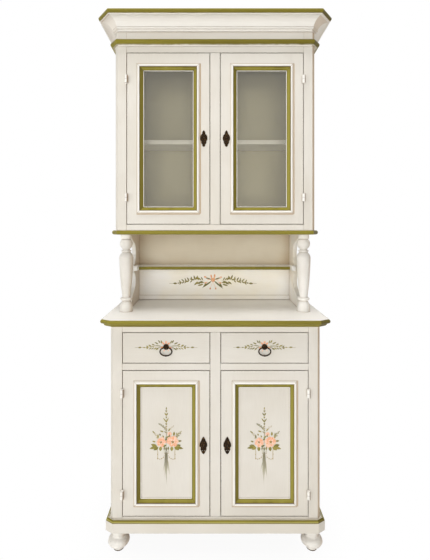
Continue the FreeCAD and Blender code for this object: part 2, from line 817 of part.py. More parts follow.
def make_door(name, side, door):
    """Stiles and rails round a panel or pane, with its mouldings, lock and hinge halves."""
    face_y = door["face_y"]
    low_z = door["z"] + door_reveal
    high_z = door["z"] + door["opening"] - door_reveal
    back = face_y + door_thickness
    stile = door["stile_margin"] + moulding_overlap
    rail = door["rail_margin"] + moulding_overlap
    open_x0 = door_inner_x + stile
    open_x1 = door_outer_x - stile
    open_z0 = low_z + rail
    open_z1 = high_z - rail
    front = face_y + door["setback"]
    thickness = door["infill_thickness"]
    reach = panel_tongue
    groove = block(open_x0 - reach - groove_play, open_x1 + reach + groove_play, front - groove_play,
                   front + thickness + groove_play, open_z0 - reach - groove_play,
                   open_z1 + reach + groove_play)
    lock_at = point(door_inner_x + lock_backset, face_y, (low_z + high_z) / 2 + door["lock_rise"])
    key_bore = keyhole(-cut_margin, door_thickness + cut_margin)
    key_bore.translate(lock_at)
    members = [
        block(door_inner_x, open_x0, face_y, back, low_z, high_z).cut(key_bore),
        block(open_x1, door_outer_x, face_y, back, low_z, high_z),
        block(open_x0, open_x1, face_y, back, low_z, open_z0),
        block(open_x0, open_x1, face_y, back, open_z1, high_z),
    ]
    save(name + "_frame", [on_side(side, member.cut(groove)) for member in members])
    pane = block(open_x0 - reach, open_x1 + reach, front, front + thickness,
                 open_z0 - reach, open_z1 + reach)
    save(name + "_" + door["infill"], [on_side(side, pane)])

    x0 = door_inner_x + door["stile_margin"]
    x1 = door_outer_x - door["stile_margin"]
    z0 = low_z + door["rail_margin"]
    z1 = high_z - door["rail_margin"]
    path = [point(x0, face_y, z0), point(x1, face_y, z0), point(x1, face_y, z1), point(x0, face_y, z1)]
    skirt = moulding_skirt_width
    bead_end = skirt + moulding_bead_width
    slope_x = bead_end + moulding_quirk
    toe_x = moulding_width - moulding_lip_width
    seat_v = -door["setback"]
    toe_v = seat_v + moulding_lip_height
    bolection = [
        (0, 0),
        (0, moulding_quirk),
        (-skirt * 0.7, moulding_quirk * 1.5, -skirt, moulding_bead_side),
        (-(skirt + bead_end) / 2, moulding_bead_height, -bead_end, moulding_bead_side),
        (-bead_end, moulding_quirk),
        (-slope_x, moulding_quirk),
        (-(slope_x + toe_x) / 2 - moulding_quirk, (toe_v + moulding_quirk) / 2 - moulding_quirk, -toe_x, toe_v),
        (-toe_x, toe_v + moulding_quirk),
        (-moulding_width, toe_v + moulding_quirk),
        (-moulding_width, seat_v),
        (-moulding_overlap, seat_v),
        (-moulding_overlap, 0),
    ]
    sticks = mitred_sticks(path, FORWARD, bolection, closed=True)
    save(name + "_moulding", [on_side(side, stick) for stick in sticks])

    plate = door["plate"].copy()
    plate.translate(lock_at)
    half_case = lock_case_width / 2
    case = block(lock_at.x - half_case, lock_at.x + half_case, back, back + lock_case_depth,
                 lock_at.z - lock_case_height / 2, lock_at.z + lock_case_height / 2)
    save(name + "_lock", [on_side(side, plate), on_side(side, case)])

    knuckle_heights = hinge_heights(door["z"], door["opening"], door["hinge_inset"])
    halves = [hinge_half(face_y, height + hinge_knuckle_play, -1, False) for height in knuckle_heights]
    save(name + "_hinges", [on_side(side, half) for half in halves])


def make_frame_hinges():
    halves = []
    for door in [lower_door, upper_door]:
        for height in hinge_heights(door["z"], door["opening"], door["hinge_inset"]):
            halves += both_sides(hinge_half(door["face_y"], height - hinge_knuckle_height, 1, True))
    save("hinge_frame_halves", halves)


def ring_arc(centre, radius, start_degrees, sweep_degrees):
    """An arc of the ring's centre line, in the plane of the drawer front."""
    places = []
    for share in [0, 0.5, 1]:
        angle = math.radians(start_degrees + share * sweep_degrees)
        places.append(centre + point(math.cos(angle), 0, math.sin(angle)) * radius)
    return Part.Arc(*places).toShape()


def oval_ring(pivot):
    """Round wire along a closed oval of four tangent arcs, hanging from the pivot at its top."""
    half_wide = ring_width / 2 - ring_wire_radius
    half_high = ring_height / 2 - ring_wire_radius
    centre = pivot - UP * half_high
    shift = half_wide - ring_end_radius
    excess = half_high - ring_end_radius
    drop = (shift ** 2 - excess ** 2) / (2 * excess)
    long_radius = half_high + drop
    spread = math.degrees(math.atan2(shift, drop))
    end_sweep = 2 * (90 - spread)
    line = Part.Wire([
        ring_arc(centre - UP * drop, long_radius, 90 - spread, 2 * spread),
        ring_arc(centre - RIGHTWARD * shift, ring_end_radius, 90 + spread, end_sweep),
        ring_arc(centre + UP * drop, long_radius, 270 - spread, 2 * spread),
        ring_arc(centre + RIGHTWARD * shift, ring_end_radius, 270 + spread, end_sweep),
    ])
    first = line.Edges[0]
    along = first.tangentAt(first.FirstParameter)
    section = Part.Wire(Part.makeCircle(ring_wire_radius, first.valueAt(first.FirstParameter), along))
    bead = Part.makeSphere(ring_bead_radius, centre - UP * half_high, RIGHTWARD)
    return line.makePipeShell([section], True, False).fuse(bead)


def make_drawer(name, side):
    face_y = lower_face_y
    low_z = drawer_z + door_reveal
    high_z = lower_top_rail_z - door_reveal
    inside_y = face_y + drawer_front_thickness
    front = block(door_inner_x, door_outer_x, face_y, inside_y, low_z, high_z)
    save(name + "_front", [on_side(side, front)])

    box_z = drawer_z + drawer_running_play
    box_top = box_z + drawer_side_height
    end_y = back_panel_y - drawer_back_play
    inner_x0 = door_inner_x + drawer_side_thickness
    inner_x1 = door_outer_x - drawer_side_thickness
    floor_z = box_z + drawer_bottom_rise
    boards = [
        block(door_inner_x, inner_x0, inside_y, end_y, box_z, box_top),
        block(inner_x1, door_outer_x, inside_y, end_y, box_z, box_top),
        block(inner_x0, inner_x1, end_y - drawer_side_thickness, end_y, box_z, box_top),
        block(inner_x0, inner_x1, inside_y, end_y - drawer_side_thickness, floor_z,
              floor_z + drawer_bottom_thickness),
    ]
    save(name + "_box", [on_side(side, board) for board in boards])

    pull_x = side * (door_inner_x + door_outer_x) / 2
    pull_z = (low_z + high_z) / 2 + pull_rise
    pivot = point(pull_x, face_y - pull_standoff, pull_z)
    crest = pull_plate_rim + pull_plate_dome
    diagonal = pull_eye_radius * math.sqrt(0.5)
    half_section = [
        (0, 0),
        (pull_plate_radius, 0),
        (pull_plate_radius, pull_plate_rim),
        (pull_plate_radius * 0.75, crest - pull_plate_rim / 2, pull_eye_radius, crest),
        (pull_eye_radius, pull_standoff),
        (diagonal, pull_standoff + diagonal, 0, pull_standoff + pull_eye_radius),
    ]
    plate = turned(half_section, point(pull_x, face_y, pull_z), FORWARD)
    hole_radius = ring_wire_radius + ring_play
    hole_start = pivot - RIGHTWARD * (pull_eye_radius + cut_margin)
    hole = Part.makeCylinder(hole_radius, 2 * (pull_eye_radius + cut_margin), hole_start, RIGHTWARD)
    save(name + "_pull_plate", [plate.cut(hole)])
    save(name + "_ring", [oval_ring(pivot)])


os.makedirs("parts", exist_ok=True)
make_feet()
make_plinth()
make_lower_carcass()
make_shelves()
make_counter()
make_columns()
make_niche()
make_upper_carcass()
make_cornice()
make_frame_hinges()
for side_name, side in [("left", -1), ("right", 1)]:
    make_door("lower_" + side_name + "_door", side, lower_door)
    make_door("upper_" + side_name + "_door", side, upper_door)
    make_drawer(side_name + "_drawer", side)
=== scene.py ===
import math
import random
from functools import cached_property

import bpy
from mathutils import Matrix, Vector


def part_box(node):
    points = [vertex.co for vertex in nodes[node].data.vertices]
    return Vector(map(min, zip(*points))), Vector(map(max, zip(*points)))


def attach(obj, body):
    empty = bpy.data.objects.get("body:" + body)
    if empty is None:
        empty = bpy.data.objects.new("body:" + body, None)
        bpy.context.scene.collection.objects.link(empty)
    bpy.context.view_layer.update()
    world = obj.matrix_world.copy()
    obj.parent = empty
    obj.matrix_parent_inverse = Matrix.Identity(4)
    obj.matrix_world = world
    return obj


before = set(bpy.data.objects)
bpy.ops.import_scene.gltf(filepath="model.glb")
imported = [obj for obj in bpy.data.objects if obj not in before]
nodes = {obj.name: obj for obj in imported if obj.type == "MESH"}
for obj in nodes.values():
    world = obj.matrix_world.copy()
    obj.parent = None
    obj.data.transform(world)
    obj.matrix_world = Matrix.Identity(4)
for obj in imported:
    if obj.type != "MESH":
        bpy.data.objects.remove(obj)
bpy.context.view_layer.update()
MM = 0.001


# Colours

def linear(red, green, blue):
    """A screen colour of 0 to 255 as the shader's linear colour."""
    shares = []
    for level in (red, green, blue):
        share = level / 255
        shares.append(share / 12.92 if share <= 0.04045 else ((share + 0.055) / 1.055) ** 2.4)
    return (*shares, 1.0)


def palette(*screen_colours):
    """The tones that a brush picks from."""
    return [linear(*colour) for colour in screen_colours]


CREAM = linear(229, 225, 217)
CREAM_AGED = linear(223, 218, 208)
BEAD_WHITE = linear(249, 247, 242)
# Brown glaze, also used as painted shade in grooves and on the right sides of the hinges
GLAZE_AND_SHADE = linear(140, 112, 80)
# Warm brown painted as shade: in deep corners, beside mouldings and on faces turned to the right
WARM_PAINTED_SHADE = linear(184, 150, 104)
# Dark brown for the mitre joints, and for the painted shade in the quirk beside the bead
UMBER = linear(96, 78, 44)
# Dark brown painted as the shade in the gaps round doors and drawers
GAP_SHADE = linear(62, 54, 46)
PRIMER = linear(205, 182, 146)
NICHE_PALE = linear(249, 242, 225)
NICHE = linear(213, 204, 184)
NICHE_AGED = linear(206, 195, 173)
INNER = linear(188, 181, 156)
INNER_AGED = linear(182, 174, 148)
SHELF_WHITE = linear(250, 248, 242)
GREEN = linear(137, 128, 46)
GREEN_DARK = linear(115, 105, 33)
# Lighter green: a tone of the paint, and painted light on the moulding's hollow
GREEN_LIGHT = linear(158, 150, 70)
# Painted highlight on green nosings
GREEN_HIGHLIGHT = linear(186, 178, 104)
# Darker green: painted shade in the moulding's hollow, and the darker paint of crown and shelf
GREEN_SHADE = linear(98, 88, 28)
# Painted shade on green cants turned to the right
GREEN_CANT_SHADE = linear(82, 72, 16)
WOOD_PALE = linear(222, 190, 142)
WOOD_DARK = linear(186, 144, 94)
BRONZE = linear(38, 26, 14)
BRONZE_WORN = linear(148, 110, 60)
BRASS = linear(196, 160, 92)
# Dark of the felt glides, which also stands for the shade under the feet
GLIDE_AND_UNDER_SHADE = linear(52, 50, 48)
GLASS_TINT = linear(248, 246, 234)

LEAF_TONES = palette((142, 132, 50), (126, 118, 40), (158, 146, 68), (112, 106, 38))
LEAF_DARK_TONES = palette((98, 94, 26), (112, 106, 34))
OLIVE_TONES = palette((128, 116, 34), (114, 104, 28), (142, 130, 46))
BRIGHT_LEAF_TONES = palette((108, 118, 46), (92, 98, 40))
MUTED_TONES = palette((126, 122, 84), (142, 138, 100))
DRY_TONES = palette((168, 146, 92), (182, 162, 112))
STEM_TONES = palette((142, 134, 84), (158, 150, 102))
STEM_DARK_TONES = palette((98, 90, 46), (114, 106, 60))
ROSE_TONES = palette((245, 192, 162), (242, 174, 136), (247, 208, 184))
PEACH_TONES = palette((247, 204, 178), (244, 190, 158), (248, 218, 198), (242, 172, 130))
PALE_TONES = palette((249, 226, 208), (247, 210, 188))
ORANGE_TONES = palette((240, 156, 106), (236, 144, 92), (242, 172, 124))
RUST_TONES = palette((226, 158, 98), (214, 144, 80), (232, 174, 120))
EYE_TONES = palette((164, 134, 46), (120, 94, 38))


# Lengths and shares of the finishes

# How far painted shade reaches out of a deep corner
CORNER_SHADE_REACH = 80 * MM
GROOVE_REACH = 7 * MM
WORN_WIDTH = 1.6 * MM
METAL_RUBBED_WIDTH = 0.8 * MM
GAP_SHADE_WIDTH = 2.5 * MM
BRUSH_WAVER = 0.6 * MM
GLIDE_HEIGHT = 4 * MM
MOULDING_BEAD = 12.5 * MM
MOULDING_GREEN = 13.5 * MM
CROWN_GREEN = 17.5 * MM
NECKING_GREEN = 19 * MM
BED_GREEN = 10 * MM
SHELF_STRAIGHT_DEPTH = 97 * MM
PAINT_EDGE = 0.3 * MM

# Bands of paint: how far from the middle they begin to fade, and where they have gone
# The painted shadow beside and below a door's moulding
PAINTED_SHADOW_LINE = (1.6 * MM, 4.6 * MM)
FRAME_RIM = (3 * MM, 4 * MM)
NOSING_HIGHLIGHT = (0.3 * MM, 2.6 * MM)
HOLLOW_HIGHLIGHT = (0.8 * MM, 3.2 * MM)
# Where the painted shadow at the moulding's outer foot fades out
MOULDING_FOOT = (1.4 * MM, 4.4 * MM)
BEAD_LINE = (0.4 * MM, 1.5 * MM)
MITRE_LINE = (0.4 * MM, 1.4 * MM)

# Waves of the noises in a metre
CREAM_WAVES = 4.0
PLAIN_WAVES = 5.0
FOOT_WAVES = 9.0
GREEN_WAVES = 22.0
WEAR_WAVES = 26.0
BRUSH_WAVES = 40.0
STREAK_WAVES = 320.0
GRAIN_WAVES = 900.0
RING_WAVES = 9.0
FIBRE_WAVES = 260.0
METAL_WAVES = 260.0
GLASS_WAVES = 9.0
HAIR_WAVES = 420.0

# Shares, and the limits between which a share changes
SHEEN = 0.25
MATT_ROUGH = (0.46, 0.64)
# Shares of glaze and painted shade that ambient occlusion puts in the grooves
GROOVE_GLAZE_AND_SHADE = 0.42
GROOVE_GLAZE_AND_SHADE_BESIDE_GAPS = 0.15
GAP_SHADE_SHARE = 0.85
CLOSED = 0.3
GROOVE_OPEN = 0.95
CORNER_SHADE_OPEN = 0.75
RINGS = 9.0
LEVEL_TOP = (0.96, 0.995)
CLOUDY = (0.3, 0.7)
DRAWN_OUT = 0.06
STRETCH = {
    "any way": (1, 1, 1),
    "upright": (1, 1, DRAWN_OUT),
    "level": (DRAWN_OUT, 1, 1),
    "deep": (1, DRAWN_OUT, 1),
}


# Wiring of shaders

class Wiring:
    """A shader tree that is being wired; an input is a plain value or the output of another node."""

    def __init__(self, tree):
        self.tree = tree

    def feed(self, socket, value):
        if isinstance(value, bpy.types.NodeSocket):
            self.tree.links.new(value, socket)
        else:
            socket.default_value = value

    def add(self, kind, settings=None, **inputs):
        """A new node with its settings; a blank in the name of an input is written as an underscore."""
        node = self.tree.nodes.new(kind)
        for name, value in (settings or {}).items():
            setattr(node, name, value)
        for name, value in inputs.items():
            self.feed(node.inputs[name.replace("_", " ")], value)
        return node

    def operate(self, kind, operation, values):
        node = self.add(kind, {"operation": operation})
        for socket, value in zip(node.inputs, values):
            self.feed(socket, value)
        return node.outputs

    def sums(self, operation, *values):
        return self.operate("ShaderNodeMath", operation, values)["Value"]

    def vectors(self, operation, *values):
        return self.operate("ShaderNodeVectorMath", operation, values)["Value"]

    def times(self, product, *factors):
        for factor in factors:
            product = self.sums("MULTIPLY", product, factor)
        return product

    def least(self, smallest, *others):
        for other in others:
            smallest = self.sums("MINIMUM", smallest, other)
        return smallest

    def away(self, value, middle):
        """How far a value lies from the middle, on either side."""
        return self.sums("ABSOLUTE", self.sums("SUBTRACT", value, middle))

    def split(self, vector):
        return self.add("ShaderNodeSeparateXYZ", Vector=vector).outputs

    def blend(self, share, first, second):
        """The first colour, with this share of the second over it."""
        node = self.add("ShaderNodeMix", {"data_type": "RGBA"}, Factor=share)
        under, over = (socket for socket in node.inputs if socket.type == "RGBA")
        self.feed(under, first)
        self.feed(over, second)
        return next(socket for socket in node.outputs if socket.type == "RGBA")

    def ramp(self, value, low, high, to_low, to_high):
        """A smooth step from to_low to to_high, while the value goes from low to high."""
        node = self.add("ShaderNodeMapRange", {"interpolation_type": "SMOOTHSTEP"},
                        Value=value, From_Min=low, From_Max=high, To_Min=to_low, To_Max=to_high)
        return node.outputs[0]

    def rise(self, value, low, high, most=1.0):
        return self.ramp(value, low, high, 0.0, most)

    def fall(self, value, low, high, most=1.0):
        return self.ramp(value, low, high, most, 0.0)


class Finish(Wiring):
    """A material that is being made, with the place and the facing of its surface at hand."""

    def __init__(self, name):
        self.material = bpy.data.materials.new(name)
        self.material.use_nodes = True
        super().__init__(self.material.node_tree)
        self.shader = self.tree.nodes["Principled BSDF"]
        self.coordinates = self.add("ShaderNodeTexCoord").outputs
        self.place = self.coordinates["Object"]

    @cached_property
    def axes(self):
        return self.split(self.place)

    @cached_property
    def facing(self):
        return self.split(self.coordinates["Normal"])

    def surface(self, **inputs):
        """Feeds the inputs of the surface shader."""
        for name, value in inputs.items():
            self.feed(self.shader.inputs[name.replace("_", " ")], value)

    def relief(self, height, strength, depth):
        bump = self.add("ShaderNodeBump", Strength=strength, Distance=depth, Height=height)
        self.surface(Normal=bump.outputs[0])

    def noise(self, waves, along="any way", detail=3.0):
        """Noise with so many waves in a metre, drawn out along the grain or the brush."""
        mapping = self.add("ShaderNodeMapping", Vector=self.place, Scale=STRETCH[along])
        speckle = self.add("ShaderNodeTexNoise", Vector=mapping.outputs[0], Scale=waves, Detail=detail)
        return speckle.outputs[0]

    def cloudy(self, first, second, waves):
        """Two colours that turn into each other in soft clouds."""
        return self.blend(self.rise(self.noise(waves), *CLOUDY), first, second)

    def crevice_glaze_and_shade(self, reach, most, open_at=GROOVE_OPEN):
        """The share of glaze and painted shade in the corners and grooves, from ambient occlusion."""
        shade = self.add("ShaderNodeAmbientOcclusion", {"samples": 8}, Distance=reach)
        return self.fall(shade.outputs["AO"], CLOSED, open_at, most)

    def arrises(self, width, normal="Normal"):
        """The narrow strips along the arrises."""
        rounded = self.add("ShaderNodeBevel", {"samples": 4}, Radius=width)
        surface = self.add("ShaderNodeNewGeometry")
        alike = self.vectors("DOT_PRODUCT", rounded.outputs[0], surface.outputs[normal])
        return self.fall(alike, 0.86, 0.985)

    def worn_arrises(self, width, most):
        """Where handling has thinned the skin on the arrises, in broken patches."""
        patches = self.rise(self.noise(WEAR_WAVES), 0.45, 0.62)
        return self.times(self.arrises(width), patches, most)

    def brush(self, colour, along, corner_shade=0.0, groove_glaze_and_shade=GROOVE_GLAZE_AND_SHADE, shaded_edge=0.0, sheen=SHEEN):
        """Satin brush-laid paint: faint streaks, glaze and painted shade in grooves, thinned arrises,
        painted shade by the gaps.
        """
        streaks = self.noise(STREAK_WAVES, along, detail=2.0)
        grain = self.noise(GRAIN_WAVES)
        # Painted shade deep in the corners, by ambient occlusion over a long reach
        if corner_shade:
            corners = self.crevice_glaze_and_shade(CORNER_SHADE_REACH, corner_shade, CORNER_SHADE_OPEN)
            colour = self.blend(corners, colour, WARM_PAINTED_SHADE)
        colour = self.blend(self.rise(streaks, 0.3, 0.75, most=0.035), colour, GLAZE_AND_SHADE)
        colour = self.blend(self.worn_arrises(WORN_WIDTH, most=0.4), colour, PRIMER)
        # Glaze and painted shade, deepest where the grooves are most closed in
        colour = self.blend(self.crevice_glaze_and_shade(GROOVE_REACH, groove_glaze_and_shade), colour, GLAZE_AND_SHADE)
        # Painted shade along the arrises, where the gaps between parts fall dark
        if shaded_edge:
            edge_shade = self.times(self.arrises(GAP_SHADE_WIDTH, "True Normal"), shaded_edge)
            colour = self.blend(edge_shade, colour, GAP_SHADE)
        smoothest, roughest = (rough - sheen / 3 for rough in MATT_ROUGH)
        self.surface(Base_Color=colour, Roughness=self.ramp(streaks, 0.2, 0.8, smoothest, roughest),
                     Specular_IOR_Level=sheen)
        height = self.sums("ADD", self.times(streaks, 0.7), self.times(grain, 0.3))
        self.relief(height, strength=0.12, depth=0.3 * MM)
        return self.material


# Bare wood

def wood_fibres(finish, along):
    return finish.noise(FIBRE_WAVES, along)


def wood_colour(finish, along):
    """Growth rings that run along the board, under fine fibres."""
    drift = finish.noise(RING_WAVES, along, detail=4.0)
    rings = finish.sums("PINGPONG", finish.times(drift, RINGS), 0.5)
    colour = finish.blend(finish.rise(rings, 0.05, 0.5), WOOD_PALE, WOOD_DARK)
    fibres = finish.rise(wood_fibres(finish, along), 0.35, 0.8, most=0.3)
    return finish.blend(fibres, colour, WOOD_DARK)


def bare_behind(finish, painted):
    """The paint, with bare wood on the face that turns to the wall."""
    behind = finish.rise(finish.facing["Y"], 0.5, 0.9)
    return finish.blend(behind, painted, wood_colour(finish, "upright"))


def wood_finish(along):
    """Bare softwood."""
    finish = Finish("softwood_" + along)
    fibres = wood_fibres(finish, along)
    finish.surface(Base_Color=wood_colour(finish, along),
                   Roughness=finish.ramp(fibres, *CLOUDY, 0.6, 0.8))
    finish.relief(fibres, strength=0.3, depth=0.3 * MM)
    return finish.material


# Painted finishes

def cream_colour(finish):
    return finish.cloudy(CREAM, CREAM_AGED, CREAM_WAVES)


def green_colour(finish, along):
    cloud = finish.noise(GREEN_WAVES, along)
    green = finish.blend(finish.rise(cloud, 0.28, 0.55), GREEN_DARK, GREEN)
    return finish.blend(finish.rise(cloud, 0.58, 0.8, most=0.7), green, GREEN_LIGHT)


def cream_finish(name, along):
    finish = Finish(name)
    return finish.brush(cream_colour(finish), along)


def gap_finish(name, along):
    """Cream paint with painted shade along its edges, beside the gaps round doors and drawers."""
    finish = Finish(name)
    return finish.brush(cream_colour(finish), along, groove_glaze_and_shade=GROOVE_GLAZE_AND_SHADE_BESIDE_GAPS,
                        shaded_edge=GAP_SHADE_SHARE)


def door_frame_finish(door):
    """Cream stiles and rails, with a painted shadow to the right of the moulding and below it, and painted
    shade along the outer edges.
    """
    low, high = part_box(door + "_moulding")
    frame_low, frame_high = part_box(door + "_frame")
    middle, half = (low + high) / 2, (high - low) / 2
    finish = Finish(door + "_frame_paint")
    x, z = finish.axes["X"], finish.axes["Z"]
    within_x = finish.sums("LESS_THAN", finish.away(x, middle.x), half.x)
    within_z = finish.sums("LESS_THAN", finish.away(z, middle.z), half.z)
    beside = finish.sums("SUBTRACT", x, high.x)
    below = finish.sums("SUBTRACT", low.z, z)
    # Painted shadow lines to the right of the moulding and below it
    shadow_lines = []
    for off, within in ((beside, within_z), (below, within_x)):
        outside = finish.times(within, finish.sums("GREATER_THAN", off, -2 * MM))
        shadow_lines.append(finish.times(outside, finish.fall(off, *PAINTED_SHADOW_LINE, most=0.85)))
    colour = finish.blend(finish.sums("MAXIMUM", *shadow_lines), cream_colour(finish), WARM_PAINTED_SHADE)
    # Painted shade along the outer edges, by the gaps
    rims = [finish.away(x, edge) for edge in (frame_low.x, frame_high.x)]
    rims += [finish.away(z, edge) for edge in (frame_low.z, frame_high.z)]
    rim_shade = finish.fall(finish.least(*rims), *FRAME_RIM, most=0.9)
    return finish.brush(colour, "upright", shaded_edge=rim_shade)


def foot_finish():
    """White feet on dark glides, whose dark also stands for the shade under each foot, with painted shade
    on the side that turns to the right.
    """
    finish = Finish("foot_paint")
    painted = finish.rise(finish.axes["Z"], GLIDE_HEIGHT - 0.2 * MM, GLIDE_HEIGHT + 0.2 * MM)
    # Painted shade on the side turned to the right
    turned = finish.rise(finish.facing["X"], 0.25, 1.0, most=0.4)
    white = finish.blend(finish.noise(FOOT_WAVES), BEAD_WHITE, CREAM)
    white = finish.blend(turned, white, WARM_PAINTED_SHADE)
    return finish.brush(finish.blend(painted, GLIDE_AND_UNDER_SHADE, white), "level", groove_glaze_and_shade=0.6)


def hinge_finish():
    """Painted knuckles, with painted brown shade on the sides that turn to the right and painted shade in
    their grooves and along their arrises.
    """
    finish = Finish("hinge_paint")
    # Painted brown shade on the sides turned to the right
    turned = finish.rise(finish.facing["X"], 0.0, 0.75, most=0.85)
    colour = finish.blend(turned, BEAD_WHITE, GLAZE_AND_SHADE)
    return finish.brush(colour, "upright", groove_glaze_and_shade=0.7, shaded_edge=0.5)


def turn_to_right(finish):
    """Which way a surface turns, seen from above: -1 left, 0 straight ahead or back, 1 right."""
    across = finish.sums("ABSOLUTE", finish.facing["X"])
    level = finish.sums("ADD", across, finish.sums("ABSOLUTE", finish.facing["Y"]))
    return finish.sums("DIVIDE", finish.facing["X"], finish.sums("MAXIMUM", level, 0.01))


def two_tone_finish(name, green_where, highlight_at=None, sheen=SHEEN, whiter=0.0, darker=0.0,
                    end_shade=0.0, bare_top=False):
    """Level mouldings and boards in cream, with green picked out where green_where gives its share, a
    painted highlight along a nosing and painted shade on the ends.
    """
    finish = Finish(name)
    turned = turn_to_right(finish)
    right_cant_shade = finish.times(finish.rise(turned, 0.2, 0.4), finish.ramp(turned, 0.7, 0.9, 1.0, 0.25))
    green = finish.blend(darker, green_colour(finish, "level"), GREEN_SHADE)
    # Painted highlight along the middle of a rounded nosing
    if highlight_at:
        highlight = finish.fall(finish.away(finish.axes["Z"], highlight_at), *NOSING_HIGHLIGHT, most=0.7)
        green = finish.blend(highlight, green, GREEN_HIGHLIGHT)
    # Painted shade on the green of cants turned to the right
    green = finish.blend(finish.times(right_cant_shade, 0.8), green, GREEN_CANT_SHADE)
    cream = finish.blend(whiter, cream_colour(finish), BEAD_WHITE)
    # Painted warm shade on the ends, stronger on the right
    if end_shade:
        left = finish.fall(turned, -0.45, -0.2, most=0.35 * end_shade)
        right = finish.times(right_cant_shade, end_shade)
        cream = finish.blend(finish.sums("ADD", left, right), cream, WARM_PAINTED_SHADE)
    if bare_top:
        upward = finish.rise(finish.facing["Z"], *LEVEL_TOP)
        cream = finish.blend(upward, cream, wood_colour(finish, "level"))
    return finish.brush(finish.blend(green_where(finish), cream, green), "level", sheen=sheen)


def above(height):
    """Green from this height up to the level top, with the small waver of a hand-held brush."""
    def share(finish):
        waver = finish.times(finish.noise(BRUSH_WAVES), BRUSH_WAVER)
        wavering = finish.sums("ADD", finish.axes["Z"], waver)
        below_top = finish.fall(finish.facing["Z"], *LEVEL_TOP)
        return finish.times(below_top, finish.rise(wavering, height, height + BRUSH_WAVER))
    return share


def on_rounded_edge(level_from, level_at):
    """Green on the rounded edge of a board, but not on its level top and underside."""
    def share(finish):
        return finish.fall(finish.sums("ABSOLUTE", finish.facing["Z"]), level_from, level_at)
    return share


def on_shelf_front(front_y):
    """Green on the straight front of the niche shelf, cream on its ears."""
    def share(finish):
        forward = finish.fall(finish.facing["Y"], -0.6, -0.35)
        return finish.times(forward, finish.rise(finish.axes["Y"], front_y - 4 * MM, front_y - 2 * MM))
    return share


def moulding_finish(storey):
    """A door's mitred moulding from its outer edge in: painted shadow at the foot on the right and lower
    sides, cream bead, painted shade in the quirk, green hollow with a painted highlight, painted shade and
    light by its facing, pale lip, dark mitre joints.
    """
    low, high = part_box(f"{storey}_right_door_moulding")
    finish = Finish(f"{storey}_moulding_paint")

    def inward(position, near, far):
        return finish.sums("SUBTRACT", (far - near) / 2, finish.away(position, (near + far) / 2))

    def band(value, middle, spread, most=1.0):
        return finish.fall(finish.away(value, middle), *spread, most)

    in_x = inward(finish.sums("ABSOLUTE", finish.axes["X"]), low.x, high.x)
    in_z = inward(finish.axes["Z"], low.z, high.z)
    depth = finish.least(in_x, in_z)
    mitre = finish.sums("SUBTRACT", in_x, in_z)
    rightward, upward = finish.facing["X"], finish.facing["Z"]
    middle, half = MOULDING_BEAD + MOULDING_GREEN / 2, MOULDING_GREEN / 2
    green = green_colour(finish, "upright")
    # Painted highlight down the middle of the hollow
    green = finish.blend(band(depth, middle, HOLLOW_HIGHLIGHT, most=0.55), green, GREEN_LIGHT)
    # Painted shade where the hollow faces right, painted light where it faces left
    green = finish.blend(finish.rise(rightward, 0.05, 0.4, most=0.6), green, GREEN_SHADE)
    green = finish.blend(finish.fall(rightward, -0.4, -0.05, most=0.25), green, GREEN_LIGHT)
    # Painted shadow at the outer foot on the right and lower sides
    right_or_down = finish.rise(finish.sums("SUBTRACT", rightward, upward), -0.3, 0.4)
    foot = finish.times(band(depth, 0.0, MOULDING_FOOT, most=0.75), right_or_down)
    colour = finish.blend(finish.rise(depth, 3 * MM, 6 * MM), cream_colour(finish), BEAD_WHITE)
    colour = finish.blend(foot, colour, WARM_PAINTED_SHADE)
    colour = finish.blend(band(depth, middle, (half - PAINT_EDGE, half + PAINT_EDGE)), colour, green)
    # Painted shade in the quirk at the bead's edge; then the dark mitre joints
    colour = finish.blend(band(depth, MOULDING_BEAD, BEAD_LINE, most=0.65), colour, UMBER)
    colour = finish.blend(band(mitre, 0.0, MITRE_LINE, most=0.6), colour, UMBER)
    return finish.brush(colour, "upright")


def plain_finish(name, along, fresh, aged, corner_shade=0.0, right_shade=0.0, turning=(0.3, 0.5),
                 side_share=1.0, bare_back=False):
    """One colour of paint, with painted shade where it turns to the right; side_share is kept on the
    straight side.
    """
    finish = Finish(name)
    colour = finish.cloudy(fresh, aged, PLAIN_WAVES)
    # Painted warm shade on faces turned to the right
    if right_shade:
        turned = finish.rise(finish.facing["X"], *turning, most=right_shade)
        kept = finish.ramp(finish.facing["X"], 0.88, 0.97, 1.0, side_share)
        colour = finish.blend(finish.times(turned, kept), colour, WARM_PAINTED_SHADE)
    if bare_back:
        colour = bare_behind(finish, colour)
    return finish.brush(colour, along, corner_shade)


def niche_finish():
    """Niche paint: darker above the shelf as painted shade, paler below it as painted light, with painted
    shade in its corners.
    """
    finish = Finish("niche_cream")
    shelf_low, shelf_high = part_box("niche_shelf")
    # Darker paint above the shelf as painted shade, paler below it as painted light
    higher = finish.rise(finish.axes["Z"], shelf_low.z, shelf_high.z)
    pale = finish.cloudy(BEAD_WHITE, NICHE_PALE, PLAIN_WAVES)
    colour = finish.blend(higher, pale, finish.cloudy(NICHE, NICHE_AGED, PLAIN_WAVES))
    # Painted shade in the corners, strongest above the shelf
    corners = finish.crevice_glaze_and_shade(CORNER_SHADE_REACH, 0.36, CORNER_SHADE_OPEN)
    corners = finish.times(corners, finish.ramp(higher, 0, 1, 0.3, 1.0))
    colour = finish.blend(corners, colour, WARM_PAINTED_SHADE)
    return finish.brush(bare_behind(finish, colour), "level")


# Metal, glass and flower paint

